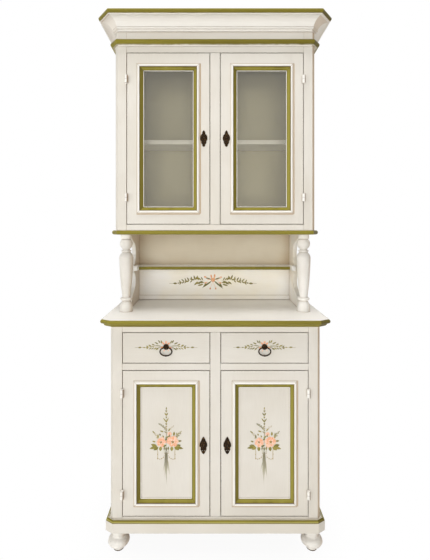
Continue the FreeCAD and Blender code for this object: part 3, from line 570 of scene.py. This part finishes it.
def metal_finish(name, base, worn, smoothest, roughest, metallic):
    """Cast metal with a darkened skin, rubbed bright on the arrises."""
    finish = Finish(name)
    skin = finish.noise(METAL_WAVES)
    colour = finish.blend(finish.rise(skin, 0.55, 0.69, most=0.55), base, worn)
    colour = finish.blend(finish.worn_arrises(METAL_RUBBED_WIDTH, most=0.7), colour, worn)
    finish.surface(Base_Color=colour, Roughness=finish.ramp(skin, *CLOUDY, smoothest, roughest),
                   Metallic=metallic, Specular_IOR_Level=0.2)
    finish.relief(skin, strength=0.3, depth=0.2 * MM)
    return finish.material


def glass_finish():
    """Old window glass, faintly wavy."""
    finish = Finish("old_window_glass")
    waves = finish.noise(GLASS_WAVES)
    finish.surface(Base_Color=GLASS_TINT, Roughness=finish.rise(waves, *CLOUDY, most=0.03),
                   Transmission_Weight=0.95, IOR=1.45)
    finish.relief(waves, strength=0.04, depth=1 * MM)
    return finish.material


def flower_finish():
    """Paint laid in single strokes, each in the colour that it carries, thinner between the hairs."""
    finish = Finish("flower_strokes")
    stroke = finish.add("ShaderNodeAttribute", {"attribute_name": "stroke_colour"})
    hairs = finish.noise(HAIR_WAVES)
    thin = finish.rise(hairs, 0.5, 0.8, most=0.3)
    finish.surface(Base_Color=finish.blend(thin, stroke.outputs["Color"], CREAM),
                   Roughness=finish.ramp(hairs, *CLOUDY, 0.45, 0.6))
    finish.relief(hairs, strength=0.2, depth=0.2 * MM)
    return finish.material


# Which node has which finish

cream_upright = cream_finish("cream_upright", "upright")
cream_level = cream_finish("cream_level", "level")
gap_upright = gap_finish("cream_beside_gaps", "upright")
gap_level = gap_finish("cream_between_gaps", "level")
post_cream = plain_finish("post_cream", "upright", CREAM, CREAM_AGED, right_shade=0.6, side_share=0.0)
column_white = plain_finish("column_white", "level", BEAD_WHITE, CREAM, right_shade=0.4, turning=(0.4, 1.0))
niche_side_cream = plain_finish(
    "niche_side_cream", "upright", BEAD_WHITE, NICHE_PALE, corner_shade=0.3, right_shade=0.45)
niche_cream = niche_finish()
inside_paint = plain_finish("grey_olive_inside", "upright", INNER, INNER_AGED, bare_back=True)
shelf_white = plain_finish("inner_shelf_white", "level", SHELF_WHITE, CREAM)
foot_paint = foot_finish()
hinge_paint = hinge_finish()

crown_green_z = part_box("crown_moulding")[1].z - CROWN_GREEN
necking_green_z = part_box("necking_moulding")[1].z - NECKING_GREEN
bed_green_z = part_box("counter_bed_moulding")[1].z - BED_GREEN
shelf_front_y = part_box("niche_shelf")[1].y - SHELF_STRAIGHT_DEPTH
plinth_low, plinth_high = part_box("plinth_moulding")
edged_board = two_tone_finish(
    "green_edged_board", on_rounded_edge(level_from=0.93, level_at=0.985), sheen=0.3, whiter=1.0)
plinth_nosing = two_tone_finish(
    "green_plinth_nosing", on_rounded_edge(level_from=0.985, level_at=0.999),
    highlight_at=(plinth_low.z + plinth_high.z) / 2)
bed_paint = two_tone_finish("bed_moulding_paint", above(bed_green_z))
necking_paint = two_tone_finish("necking_paint", above(necking_green_z), whiter=0.5, end_shade=0.45)
crown_paint = two_tone_finish(
    "crown_paint", above(crown_green_z), whiter=0.8, darker=0.4, end_shade=0.45, bare_top=True)
shelf_paint = two_tone_finish(
    "niche_shelf_paint", on_shelf_front(shelf_front_y), whiter=1.0, darker=0.4)

wood_level, wood_deep, wood_upright = (wood_finish(along) for along in ("level", "deep", "upright"))
bronze = metal_finish(
    "dark_bronze_skin", BRONZE, BRONZE_WORN, smoothest=0.38, roughest=0.56, metallic=0.35)
brass = metal_finish("brushed_brass", BRASS, BRASS, smoothest=0.3, roughest=0.45, metallic=0.9)
window_glass = glass_finish()
flower_paint = flower_finish()

node_finish = {
    "bun_feet": foot_paint,
    "plinth_frame": cream_level,
    "plinth_moulding": plinth_nosing,
    "lower_bottom_board": wood_level,
    "lower_side_panels": cream_upright,
    "lower_front_posts": post_cream,
    "lower_face_rails": gap_level,
    "lower_centre_stile": gap_upright,
    "lower_back_panel": wood_upright,
    "lower_shelf": wood_level,
    "shelf_pins": brass,
    "drawer_deck": wood_level,
    "drawer_guides": wood_deep,
    "counter_bed_moulding": bed_paint,
    "counter_top": edged_board,
    "turned_columns": column_white,
    "niche_sides": niche_side_cream,
    "niche_back_panel": niche_cream,
    "niche_shelf": shelf_paint,
    "upper_base_board": edged_board,
    "upper_side_panels": cream_upright,
    "upper_front_posts": post_cream,
    "upper_face_rails": gap_level,
    "upper_centre_stile": gap_upright,
    "upper_top_board": inside_paint,
    "upper_back_panel": inside_paint,
    "upper_shelf": shelf_white,
    "frieze_board": cream_level,
    "necking_moulding": necking_paint,
    "crown_moulding": crown_paint,
    "cornice_dust_board": wood_level,
    "hinge_frame_halves": hinge_paint,
}
for storey in ("lower", "upper"):
    moulding_paint = moulding_finish(storey)
    for side in ("left", "right"):
        door = f"{storey}_{side}_door"
        node_finish[door + "_frame"] = door_frame_finish(door)
        node_finish[door + "_moulding"] = moulding_paint
        node_finish[door + "_lock"] = bronze
        node_finish[door + "_hinges"] = hinge_paint
for side in ("left", "right"):
    node_finish[f"lower_{side}_door_panel"] = cream_upright
    node_finish[f"upper_{side}_door_glass"] = window_glass
    node_finish[f"{side}_drawer_front"] = gap_level
    node_finish[f"{side}_drawer_box"] = wood_deep
    node_finish[f"{side}_drawer_pull_plate"] = bronze
    node_finish[f"{side}_drawer_ring"] = bronze

for name, node in nodes.items():
    node.data.materials.clear()
    node.data.materials.append(node_finish[name])
for side in ("left", "right"):
    nodes[f"upper_{side}_door_glass"].visible_shadow = False


# Softened arrises on the flat joinery

WELD_WITHIN = 0.01 * MM
FLAT_WITHIN = math.radians(0.5)
ARRIS_FROM = math.radians(40)
ARRIS_WIDTH = 1.0 * MM


def soften(node):
    node.modifiers.new("joined", "WELD").merge_threshold = WELD_WITHIN
    flat = node.modifiers.new("whole_faces", "DECIMATE")
    flat.decimate_type = "DISSOLVE"
    flat.angle_limit = FLAT_WITHIN
    arris = node.modifiers.new("arris", "BEVEL")
    arris.width = ARRIS_WIDTH
    arris.segments = 2
    arris.limit_method = "ANGLE"
    arris.angle_limit = ARRIS_FROM
    arris.harden_normals = True


for name in ("lower_front_posts", "upper_front_posts", "lower_face_rails", "upper_face_rails",
             "lower_centre_stile", "upper_centre_stile", "left_drawer_front", "right_drawer_front",
             "plinth_frame", "frieze_board", "upper_shelf", "lower_shelf", "niche_sides", "niche_shelf",
             "left_drawer_box", "right_drawer_box"):
    soften(nodes[name])


# Shapes that the brush leaves, one unit high

STROKE_RIDGE = 0.06


def choose_points(wanted):
    """Leaves edit mode on, with only the points chosen that wanted says yes to."""
    bpy.ops.object.mode_set(mode="EDIT")
    bpy.ops.mesh.select_mode(type="VERT")
    bpy.ops.mesh.select_all(action="DESELECT")
    bpy.ops.object.mode_set(mode="OBJECT")
    for corner in bpy.context.object.data.vertices:
        corner.select = wanted(corner.co)
    bpy.ops.object.mode_set(mode="EDIT")


def start_stroke(name, sides):
    """A flat round that stands on its root at the origin and faces -Y."""
    bpy.ops.object.select_all(action="DESELECT")
    bpy.ops.mesh.primitive_circle_add(vertices=sides, radius=0.5, fill_type="NGON")
    stroke = bpy.context.object
    stroke.name = name
    stroke.rotation_euler = (math.radians(90), 0, 0)
    stroke.location = (0, 0, 0.5)
    bpy.ops.object.transform_apply(location=True, rotation=True, scale=True)
    return stroke


def reshape(wanted, widen=1.0, lengthen=0.0):
    """Widens the points that wanted says yes to, and moves them up."""
    choose_points(wanted)
    bpy.ops.transform.resize(value=(widen, 1, 1))
    bpy.ops.transform.translate(value=(0, 0, lengthen))


def raise_stroke(stroke, rim):
    """Paint stands a little proud of the surface, thickest along the middle of the stroke."""
    choose_points(lambda corner: True)
    bpy.ops.mesh.select_mode(type="FACE")
    bpy.ops.mesh.select_all(action="SELECT")
    bpy.ops.mesh.inset(thickness=rim, depth=STROKE_RIDGE)
    bpy.ops.object.mode_set(mode="OBJECT")
    stroke.hide_render = True
    return stroke


def model_leaf_stroke():
    """A slim leaf with a drawn-out tip and a narrow root."""
    leaf = start_stroke("leaf_stroke", sides=12)
    reshape(lambda corner: corner.z > 0.9 and abs(corner.x) < 0.3, widen=0.35, lengthen=0.12)
    reshape(lambda corner: corner.z < 0.1, widen=0.4)
    reshape(lambda corner: True, widen=0.9)
    return raise_stroke(leaf, rim=0.12)


def model_petal_stroke():
    """A broad petal with a notch in its rim."""
    petal = start_stroke("petal_stroke", sides=16)
    reshape(lambda corner: corner.z < 0.35, widen=0.55)
    reshape(lambda corner: corner.z > 0.97 and abs(corner.x) < 0.05, lengthen=-0.09)
    return raise_stroke(petal, rim=0.14)


leaf_shape = model_leaf_stroke()
petal_shape = model_petal_stroke()


# Hand-painted flowers

BOUQUET_ABOVE_MIDDLE = 3 * MM
SKIRTING_DEPTH = 8 * MM
NICHE_GARLAND_X = -6 * MM
NICHE_GARLAND_HEIGHT = 91 * MM

# Millimetres: the lift of the first stroke, what each later one adds, and one unit of a stroke's depth
FIRST_LAYER = 0.08
NEXT_LAYER = 0.003
STROKE_DEPTH = 0.75

# Shares of a round stem, of the way between two leaves, and of the length of a sprig's leaves
STEM_FLATNESS = 0.075
SPRIG_FIRST_LEAF = 0.6
SPRIG_TAPER = 0.35
SPRIG_LEAF_WIDTH = 0.42
TIP_LEAF_LENGTH = 0.9
TIP_LEAF_WIDTH = 0.38

# Petals, reach, breadth and tones of the rings of a blossom, from the outermost in
BLOSSOM_RINGS = (
    (6, 1.0, 0.8, ROSE_TONES), (7, 0.86, 0.62, PEACH_TONES), (5, 0.8, 0.2, ORANGE_TONES),
    (6, 0.66, 0.55, PEACH_TONES), (4, 0.5, 0.26, ORANGE_TONES), (5, 0.44, 0.5, PALE_TONES))
BLOSSOM_RING_TURN = 0.4
BLOSSOM_EYE_DABS = 4


class PaintedSpray:
    """One group of brush strokes on a flat front; sizes and places are millimetres from its middle."""

    def __init__(self, middle, seed):
        self.middle = Vector(middle)
        self.chance = random.Random(seed)
        self.strokes = []

    def lay(self, stroke, tones, mottle=0.0, pale=None):
        """Gives a stroke its colours and puts it on top of the earlier ones."""
        lift = (FIRST_LAYER + NEXT_LAYER * len(self.strokes)) * MM
        stroke.data.transform(Matrix.Translation(self.middle - Vector((0, lift, 0))))
        tint = Vector(self.chance.choice(tones))
        layer = stroke.data.color_attributes.new("stroke_colour", "FLOAT_COLOR", "POINT")
        for index, point in enumerate(layer.data):
            other = Vector(self.chance.choice(tones))
            colour = tint.lerp(other, mottle * self.chance.random())
            point.color = colour.lerp(Vector(CREAM), pale[index]) if pale else colour
        self.strokes.append(stroke)

    def dab(self, shape, tones, across, up, length, width, turn, mottle=0.25, fade=0.0):
        """One press of the brush from its root, leaning turn degrees to the right of upright."""
        stroke = shape.copy()
        stroke.data = shape.data.copy()
        stroke.hide_render = False
        bpy.context.collection.objects.link(stroke)
        pale = [fade * max(0.0, corner.co.z) for corner in stroke.data.vertices]
        lean = Matrix.Rotation(math.radians(turn), 4, "Y")
        size = Matrix.Diagonal((width * MM, STROKE_DEPTH * MM, length * MM, 1))
        stroke.data.transform(Matrix.Translation((across * MM, 0, up * MM)) @ lean @ size)
        self.lay(stroke, tones, mottle, pale)

    def dabs(self, shape, tones, presses, mirror=1, fade=0.0):
        """Presses of the brush, each (across, up, length, width, turn); mirror -1 puts them on the left."""
        for across, up, length, width, turn in presses:
            reach = length * self.chance.uniform(0.9, 1.1)
            lean = turn + self.chance.uniform(-5, 5)
            self.dab(shape, tones, across * mirror, up, reach, width, lean * mirror, fade=fade)

    def line(self, tones, points, thickness, mirror=1):
        """A thin stem through points (across, up), drawn with the tip of the brush."""
        bpy.ops.curve.primitive_bezier_curve_add()
        stem = bpy.context.object
        spline = stem.data.splines[0]
        spline.bezier_points.add(len(points) - 2)
        for knot, (across, up) in zip(spline.bezier_points, points):
            knot.co = (across * mirror * MM, 0, up * MM)
            knot.handle_left_type = knot.handle_right_type = "AUTO"
        stem.data.bevel_depth = thickness * MM / 2
        stem.data.bevel_resolution = 1
        stem.data.resolution_u = 5
        bpy.ops.object.convert(target="MESH")
        stem.data.transform(Matrix.Diagonal((1, STEM_FLATNESS, 1, 1)))
        self.lay(stem, tones)

    def sprig(self, stem_tones, leaf_tones, points, thickness, leaves, length, spread):
        """A stem with leaves on both sides by turns, smaller towards a last leaf at its tip."""
        self.line(stem_tones, points, thickness)
        for index in range(leaves):
            share = (index + SPRIG_FIRST_LEAF) / leaves * (len(points) - 1)
            start = min(int(share), len(points) - 2)
            part = share - start
            (x0, z0), (x1, z1) = points[start:start + 2]
            heading = math.degrees(math.atan2(x1 - x0, z1 - z0))
            across, up = x0 + (x1 - x0) * part, z0 + (z1 - z0) * part
            side = 1 if index % 2 else -1
            reach = length * (1.0 - SPRIG_TAPER * index / leaves) * self.chance.uniform(0.85, 1.15)
            turn = heading + side * spread * self.chance.uniform(0.8, 1.2)
            self.dab(leaf_shape, leaf_tones, across, up, reach, reach * SPRIG_LEAF_WIDTH, turn)
        (x0, z0), (x1, z1) = points[-2:]
        heading = math.degrees(math.atan2(x1 - x0, z1 - z0))
        self.dab(leaf_shape, leaf_tones, x1, z1, length * TIP_LEAF_LENGTH, length * TIP_LEAF_WIDTH, heading)

    def blossom(self, across, up, radius):
        """An open rose: rings of broad and smaller petals, short orange strokes, and a dark eye."""
        start = self.chance.uniform(0, 60)
        for ring, (count, reach, breadth, tones) in enumerate(BLOSSOM_RINGS):
            for petal in range(count):
                place = petal + BLOSSOM_RING_TURN * ring
                turn = start + 360 * place / count + self.chance.uniform(-12, 12)
                length = radius * reach * self.chance.uniform(0.8, 1.1)
                self.dab(petal_shape, tones, across, up, length, length * breadth, turn, mottle=0.9)
        for dot in range(BLOSSOM_EYE_DABS):
            turn = start + 360 / BLOSSOM_EYE_DABS * dot
            self.dab(leaf_shape, EYE_TONES, across, up, radius * 0.25, radius * 0.2, turn, mottle=0.9)

    def finish(self, name, body):
        """Joins the strokes to one piece that rides on the body."""
        bpy.ops.object.select_all(action="DESELECT")
        for stroke in self.strokes:
            stroke.select_set(True)
        bpy.context.view_layer.objects.active = self.strokes[0]
        bpy.ops.object.join()
        spray = bpy.context.object
        spray.name = name
        spray.data.materials.clear()
        spray.data.materials.append(flower_paint)
        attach(spray, body)


def paint_stem_tail(bouquet):
    """The cut stems that hang below the flowers and fade towards their ends."""
    bouquet.dabs(leaf_shape, STEM_TONES, (
        (0, -78, 76, 3.4, 180), (-4, -62, 60, 4.4, 184), (4, -62, 58, 4.4, 176), (-2, -72, 62, 4.0, 182),
        (3, -70, 56, 3.6, 178), (-5, -70, 36, 2.2, 190), (5, -70, 36, 2.2, 170)), fade=0.6)
    bouquet.dabs(leaf_shape, STEM_DARK_TONES, (
        (-2.5, -30, 66, 4.8, 182), (2.5, -30, 64, 4.8, 178), (0, -32, 84, 5.4, 180),
        (-3.5, -46, 58, 3.0, 182), (3.5, -46, 56, 3.0, 178)), fade=0.4)


def paint_bead_loops(bouquet):
    """The dry tendrils that hang in a loop on each side of the tail."""
    for mirror in (-1, 1):
        bouquet.line(DRY_TONES, [(32, -64), (20, -65), (6, -50)], 0.7, mirror)
        bouquet.line(DRY_TONES, [(33, -26), (32, -44), (32.5, -62)], 2.2, mirror)
        bouquet.dabs(petal_shape, DRY_TONES, (
            (32, -67, 6, 5, 0), (33, -50, 5, 4, 0), (25, -68, 4.4, 4.2, 0), (18, -66, 4.2, 4.0, 0),
            (11, -61, 4.0, 3.8, 0)), mirror)
        bouquet.line(STEM_TONES, [(5, -24), (8, -32), (7, -43)], 1.3, mirror)
        bouquet.dab(petal_shape, DRY_TONES, across=7 * mirror, up=-46, length=4.0, width=3.6, turn=0)


def paint_spire(bouquet):
    """The upright stem in the middle, with leaves in pairs."""
    bouquet.line(STEM_TONES, [(0, -26), (0, 40), (0, 90), (0, 122)], 0.9)
    bouquet.line(STEM_TONES[:1], [(0.5, 8), (0, 26), (-1, 44)], 2.2)
    for mirror in (-1, 1):
        bouquet.dabs(leaf_shape, LEAF_TONES, (
            (0, 112, 7, 3.6, 26), (0, 98, 12, 4.8, 30), (0, 89, 6, 3.4, 24), (0, 74, 17, 4.6, 31),
            (0, 72, 8, 4, 12), (0, 63, 7, 3.4, 18)), mirror)
        bouquet.dabs(leaf_shape, DRY_TONES, ((0, 54, 6, 2.6, 26), (0, 47, 6, 2.6, 30)), mirror)
    bouquet.dab(leaf_shape, LEAF_TONES, across=0, up=120, length=10, width=4.6, turn=0)


def paint_side_leaves(bouquet):
    """The sprigs and leaves that the roses lie on."""
    muted_stem = [(0, 30), (-3, 46), (-9, 56), (-17, 61), (-23, 65)]
    dry_stem = [(1, 26), (8, 44), (15, 50), (24, 57)]
    left_stem = [(-30, 10), (-37, 24), (-46, 33)]
    right_stem = [(36, 14), (45, 26), (52, 34)]
    bouquet.sprig(STEM_TONES, MUTED_TONES, muted_stem, thickness=1.4, leaves=11, length=8.5, spread=38)
    bouquet.sprig(DRY_TONES, DRY_TONES, dry_stem, thickness=0.6, leaves=6, length=6.5, spread=46)
    bouquet.sprig(DRY_TONES, DRY_TONES, left_stem, thickness=0.7, leaves=6, length=7, spread=44)
    bouquet.sprig(STEM_TONES, LEAF_TONES, right_stem, thickness=0.8, leaves=5, length=9, spread=40)
    bouquet.dabs(leaf_shape, LEAF_TONES, (
        (-43, 31, 13, 5, -48), (-10, 37, 13, 5.6, -70), (-31, 12, 14, 6.5, -4), (-22, 23, 8, 6, -24),
        (-9, 16, 9, 5, -30), (-40, -1, 12, 6, -72), (8, 41, 10, 5, 40), (28, 22, 15, 8.5, 6),
        (41, 22, 11, 5.4, -6), (36, 14, 9, 5, 56), (43, 2, 13, 7.5, 80), (-2, 10, 10, 5, 14),
        (2, 14, 9, 5, 30)))
    for mirror in (-1, 1):
        bouquet.dabs(leaf_shape, LEAF_TONES, (
            (36, -19, 28, 11, 104), (35, -18, 20, 13, 74), (30, -20, 18, 12, 122), (34, -17, 16, 9, 92),
            (21, -18, 16, 13, 178), (7, -18, 12, 6, 172)), mirror)
    bouquet.dabs(leaf_shape, MUTED_TONES, ((0, -20, 14, 9, 180), (-7, -19, 12, 5, 188)))


def paint_roses(bouquet):
    bouquet.blossom(across=12.5, up=28, radius=9)
    bouquet.blossom(across=-20.5, up=-2, radius=20.5)
    bouquet.blossom(across=24, up=-1, radius=24)
    bouquet.dabs(leaf_shape, BRIGHT_LEAF_TONES, (
        (-12, -19, 13, 7, 62), (-4, 5, 9, 6.5, 34), (9, 18, 8, 6, 30)))


def paint_door_bouquet(side, x, seed):
    low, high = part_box(f"lower_{side}_door_panel")
    bouquet = PaintedSpray((x, low.y, (low.z + high.z) / 2 + BOUQUET_ABOVE_MIDDLE), seed)
    paint_stem_tail(bouquet)
    paint_bead_loops(bouquet)
    paint_spire(bouquet)
    paint_side_leaves(bouquet)
    paint_roses(bouquet)
    bouquet.finish(f"lower_{side}_door_bouquet", f"lower_{side}_door")


def paint_drawer_garland(side, x, seed):
    """Leafy twigs on both sides of the pull, with petals that show from behind its plate."""
    front_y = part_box(f"{side}_drawer_front")[0].y
    plate_low, plate_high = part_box(f"{side}_drawer_pull_plate")
    garland = PaintedSpray((x, front_y, (plate_low.z + plate_high.z) / 2), seed)
    for mirror in (-1, 1):
        garland.line(DRY_TONES, [(10, 1), (40, 2), (66, -1), (84, -2)], 0.9, mirror)
        garland.line(STEM_TONES, [(86, -2), (100, -2), (117, -2)], 1.1, mirror)
        garland.dabs(leaf_shape, LEAF_TONES, (
            (92, -2, 13, 6.4, 90), (54, 0, 12, 4.0, 52), (54, -2, 12, 4.0, 126), (66, -1, 10, 4.2, 58),
            (66, -2, 10, 4.2, 122), (69, -2, 7, 3.6, 90), (29, 10, 16, 5, 63), (36, -2, 13, 4.8, 125),
            (22, 14, 12, 5.4, 31), (44, 0, 9, 3.6, 74), (77, -2, 9, 3.8, 90), (42, 5, 12, 4.2, 58),
            (46, -3, 11, 4, 128), (28, -5, 13, 4.4, 122), (60, 1, 9, 3.8, 46),
            (16, 12, 12, 4.8, 18)), mirror)
        garland.dabs(leaf_shape, MUTED_TONES, ((18, 3, 26, 3.0, 84), (19, 0, 20, 3.0, 112)), mirror)
        garland.dab(petal_shape, LEAF_TONES, across=51 * mirror, up=6, length=4, width=3.6, turn=0)
        garland.dabs(petal_shape, ORANGE_TONES, ((3, 5, 17, 6, 38), (8, 0, 15, 5, 106)), mirror)
        garland.dabs(petal_shape, PEACH_TONES, ((4, -6, 13, 4, 152), (1, 8, 15, 4, 4)), mirror)
    garland.finish(f"{side}_drawer_garland", f"{side}_drawer")


def paint_niche_garland(seed):
    """Two olive twigs that meet in a flower of rust and peach, on the back of the niche."""
    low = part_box("niche_back_panel")[0]
    middle = (NICHE_GARLAND_X, low.y + SKIRTING_DEPTH, low.z + NICHE_GARLAND_HEIGHT)
    garland = PaintedSpray(middle, seed)
    for mirror in (-1, 1):
        garland.line(DRY_TONES, [(40, -2), (84, 2), (112, -1), (138, -7), (168, -15)], 0.9, mirror)
        garland.line(STEM_TONES, [(160, -14), (180, -15), (206, -15)], 1.4, mirror)
        garland.dabs(leaf_shape, OLIVE_TONES, (
            (169, -15, 18, 9, 92), (156, -13, 12, 5.6, 96), (136, -6, 16, 6.4, 46), (135, -6, 15, 6.4, 122),
            (146, -9, 12, 5, 98), (112, -1, 17, 7, 34), (111, -1, 16, 7, 118), (122, -3, 12, 5.6, 92),
            (84, 2, 21, 8.6, 18), (86, 2, 18, 7.6, 84), (82, 2, 18, 7.6, -28), (66, 0, 16, 6.6, 34),
            (70, -6, 22, 8.6, 128), (96, 1, 13, 6, 60), (46, -3, 30, 7.2, 112), (44, -18, 26, 8, 106),
            (40, -10, 26, 7, 98), (152, -10, 13, 5.4, 38), (150, -11, 13, 5.4, 142), (126, -4, 14, 5.6, 24),
            (124, -4, 14, 5.6, 138), (100, 1, 15, 6.2, 14), (98, 0, 15, 6.2, 134), (74, 3, 17, 7, 2),
            (58, -8, 20, 7.4, 118), (56, 0, 17, 6.6, 52), (48, 0, 15, 6, 30)), mirror)
        garland.dabs(leaf_shape, LEAF_DARK_TONES, (
            (6, 3, 34, 6.4, 70), (4, -2, 54, 7.8, 129), (30, -14, 22, 7, 140),
            (60, -6, 16, 6, 150)), mirror)
        garland.dabs(petal_shape, RUST_TONES, (
            (6, 8, 20, 7.5, 12), (26, 9, 18, 8, 64), (24, -8, 18, 7.5, 112), (2, -8, 18, 8, 8)), mirror)
        garland.dabs(petal_shape, PEACH_TONES, (
            (8, 10, 14, 3.6, 16), (28, 10, 13, 4, 68), (26, -8, 13, 4, 116), (14, 3, 13, 4.4, 96)), mirror)
        garland.line(PEACH_TONES[:1], [(2, -8), (7, -24), (13, -36)], 1.5, mirror)
        garland.dab(petal_shape, RUST_TONES, across=12.5 * mirror, up=-33, length=11, width=7,
                    turn=176 * mirror)
    for turn in range(0, 360, 60):
        garland.dab(petal_shape, RUST_TONES, across=0, up=2, length=11, width=7, turn=turn + 12)
        garland.dab(petal_shape, PEACH_TONES, across=0, up=2, length=8, width=3.6, turn=turn + 40)
    garland.finish("niche_garland", "carcass")


for side, bouquet_seed, garland_seed in (("left", 10, 22), ("right", 12, 24)):
    panel_low, panel_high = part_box(f"lower_{side}_door_panel")
    panel_x = (panel_low.x + panel_high.x) / 2
    paint_door_bouquet(side, panel_x, bouquet_seed)
    paint_drawer_garland(side, panel_x, garland_seed)
paint_niche_garland(seed=41)
for brush_shape in (leaf_shape, petal_shape):
    bpy.data.objects.remove(brush_shape)


# Floor, light and camera

WHITE = (1, 1, 1, 1)
SKY_TINT = (1.0, 0.935, 0.83, 1)
SKY_STRENGTH = 0.17
COOL_LIGHT = (0.98, 0.99, 1.0)
NEUTRAL_LIGHT = (0.99, 0.99, 0.99)
WARM_LIGHT = (1.0, 0.985, 0.965)
FLOOR_COLOUR = (0.82, 0.8, 0.77, 1)
FLOOR_SIZE = 14
CONTACT_SHADE = (0.3, 0.58)
WHITE_AT_FEET = 0.94
CAMERA_PLACE = (-0.02, -1.6395, 1.225)
SENSOR_MM = 36
IMAGE_LONG_SIDE = 560
FOCAL_PIXELS = 390
HORIZON_ABOVE_CENTRE = 55
CENTRE_RIGHT_OF_VANISHING = 5


def soft_lamp(name, colour, place, target, size, watts):
    bpy.ops.object.light_add(type="AREA", location=place)
    lamp = bpy.context.object
    lamp.name = name
    lamp.data.shape = "SQUARE"
    lamp.data.size = size
    lamp.data.energy = watts
    lamp.data.color = colour
    lamp.visible_glossy = False
    lamp.visible_transmission = False
    lamp.rotation_euler = (Vector(target) - lamp.location).to_track_quat("-Z", "Y").to_euler()


def seen_directly(wiring):
    """1 for rays that only look at a surface: from the camera, in reflections and through glass."""
    path = wiring.add("ShaderNodeLightPath").outputs
    mirrored = wiring.sums("MAXIMUM", path["Is Glossy Ray"], path["Is Transmission Ray"])
    looking = wiring.sums("MAXIMUM", path["Is Camera Ray"], mirrored)
    return wiring.times(looking, wiring.sums("LESS_THAN", path["Diffuse Depth"], 0.5))


def make_sky():
    """White to look at, and a faint warm light on the cabinet."""
    world = bpy.data.worlds.new("white_studio")
    bpy.context.scene.world = world
    world.use_nodes = True
    wiring = Wiring(world.node_tree)
    sky = world.node_tree.nodes["Background"]
    looking = seen_directly(wiring)
    wiring.feed(sky.inputs["Color"], wiring.blend(looking, SKY_TINT, WHITE))
    wiring.feed(sky.inputs["Strength"], wiring.ramp(looking, 0.0, 1.0, SKY_STRENGTH, 1.0))


def make_floor():
    """White to look at, with a little of the real shade left round the feet."""
    bpy.ops.mesh.primitive_plane_add(size=FLOOR_SIZE, location=(0, 0, 0))
    floor = bpy.context.object
    floor.name = "studio_floor"
    finish = Finish("pale_floor")
    finish.surface(Base_Color=FLOOR_COLOUR, Roughness=0.9)
    far = finish.ramp(finish.vectors("LENGTH", finish.place), *CONTACT_SHADE, WHITE_AT_FEET, 1.0)
    glow = finish.add("ShaderNodeEmission", Color=WHITE, Strength=1.0)
    mix = finish.add("ShaderNodeMixShader")
    layers = (finish.times(far, seen_directly(finish)), finish.shader.outputs[0], glow.outputs[0])
    for socket, layer in zip(mix.inputs, layers):
        finish.feed(socket, layer)
    finish.feed(finish.tree.nodes["Material Output"].inputs["Surface"], mix.outputs[0])
    floor.data.materials.append(finish.material)


def make_camera():
    bpy.ops.object.camera_add(location=CAMERA_PLACE, rotation=(math.radians(90), 0, 0))
    camera = bpy.context.object
    camera.data.sensor_width = SENSOR_MM
    camera.data.lens = SENSOR_MM * FOCAL_PIXELS / IMAGE_LONG_SIDE
    camera.data.shift_x = CENTRE_RIGHT_OF_VANISHING / IMAGE_LONG_SIDE
    camera.data.shift_y = -HORIZON_ABOVE_CENTRE / IMAGE_LONG_SIDE
    bpy.context.scene.camera = camera


bpy.ops.object.select_all(action="DESELECT")
bpy.context.scene.view_settings.view_transform = "Standard"
make_sky()
make_floor()
make_camera()
soft_lamp("window_light", COOL_LIGHT, place=(-4.4, -3.2, 1.7), target=(0, 0, 0.9), size=2.8, watts=73)
soft_lamp("room_light", NEUTRAL_LIGHT, place=(-0.1, -4.6, 1.1), target=(0, 0, 0.9), size=2.2, watts=92)
for side, x in (("left", -3.6), ("right", 3.6)):
    soft_lamp(f"rear_{side}_light", WARM_LIGHT, place=(x, 3.0, 1.8), target=(0, 0.1, 1.0), size=2.2,
              watts=62)
soft_lamp("ceiling_light", WARM_LIGHT, place=(0, -0.7, 4.4), target=(0, -0.2, 0.6), size=2.0, watts=93)
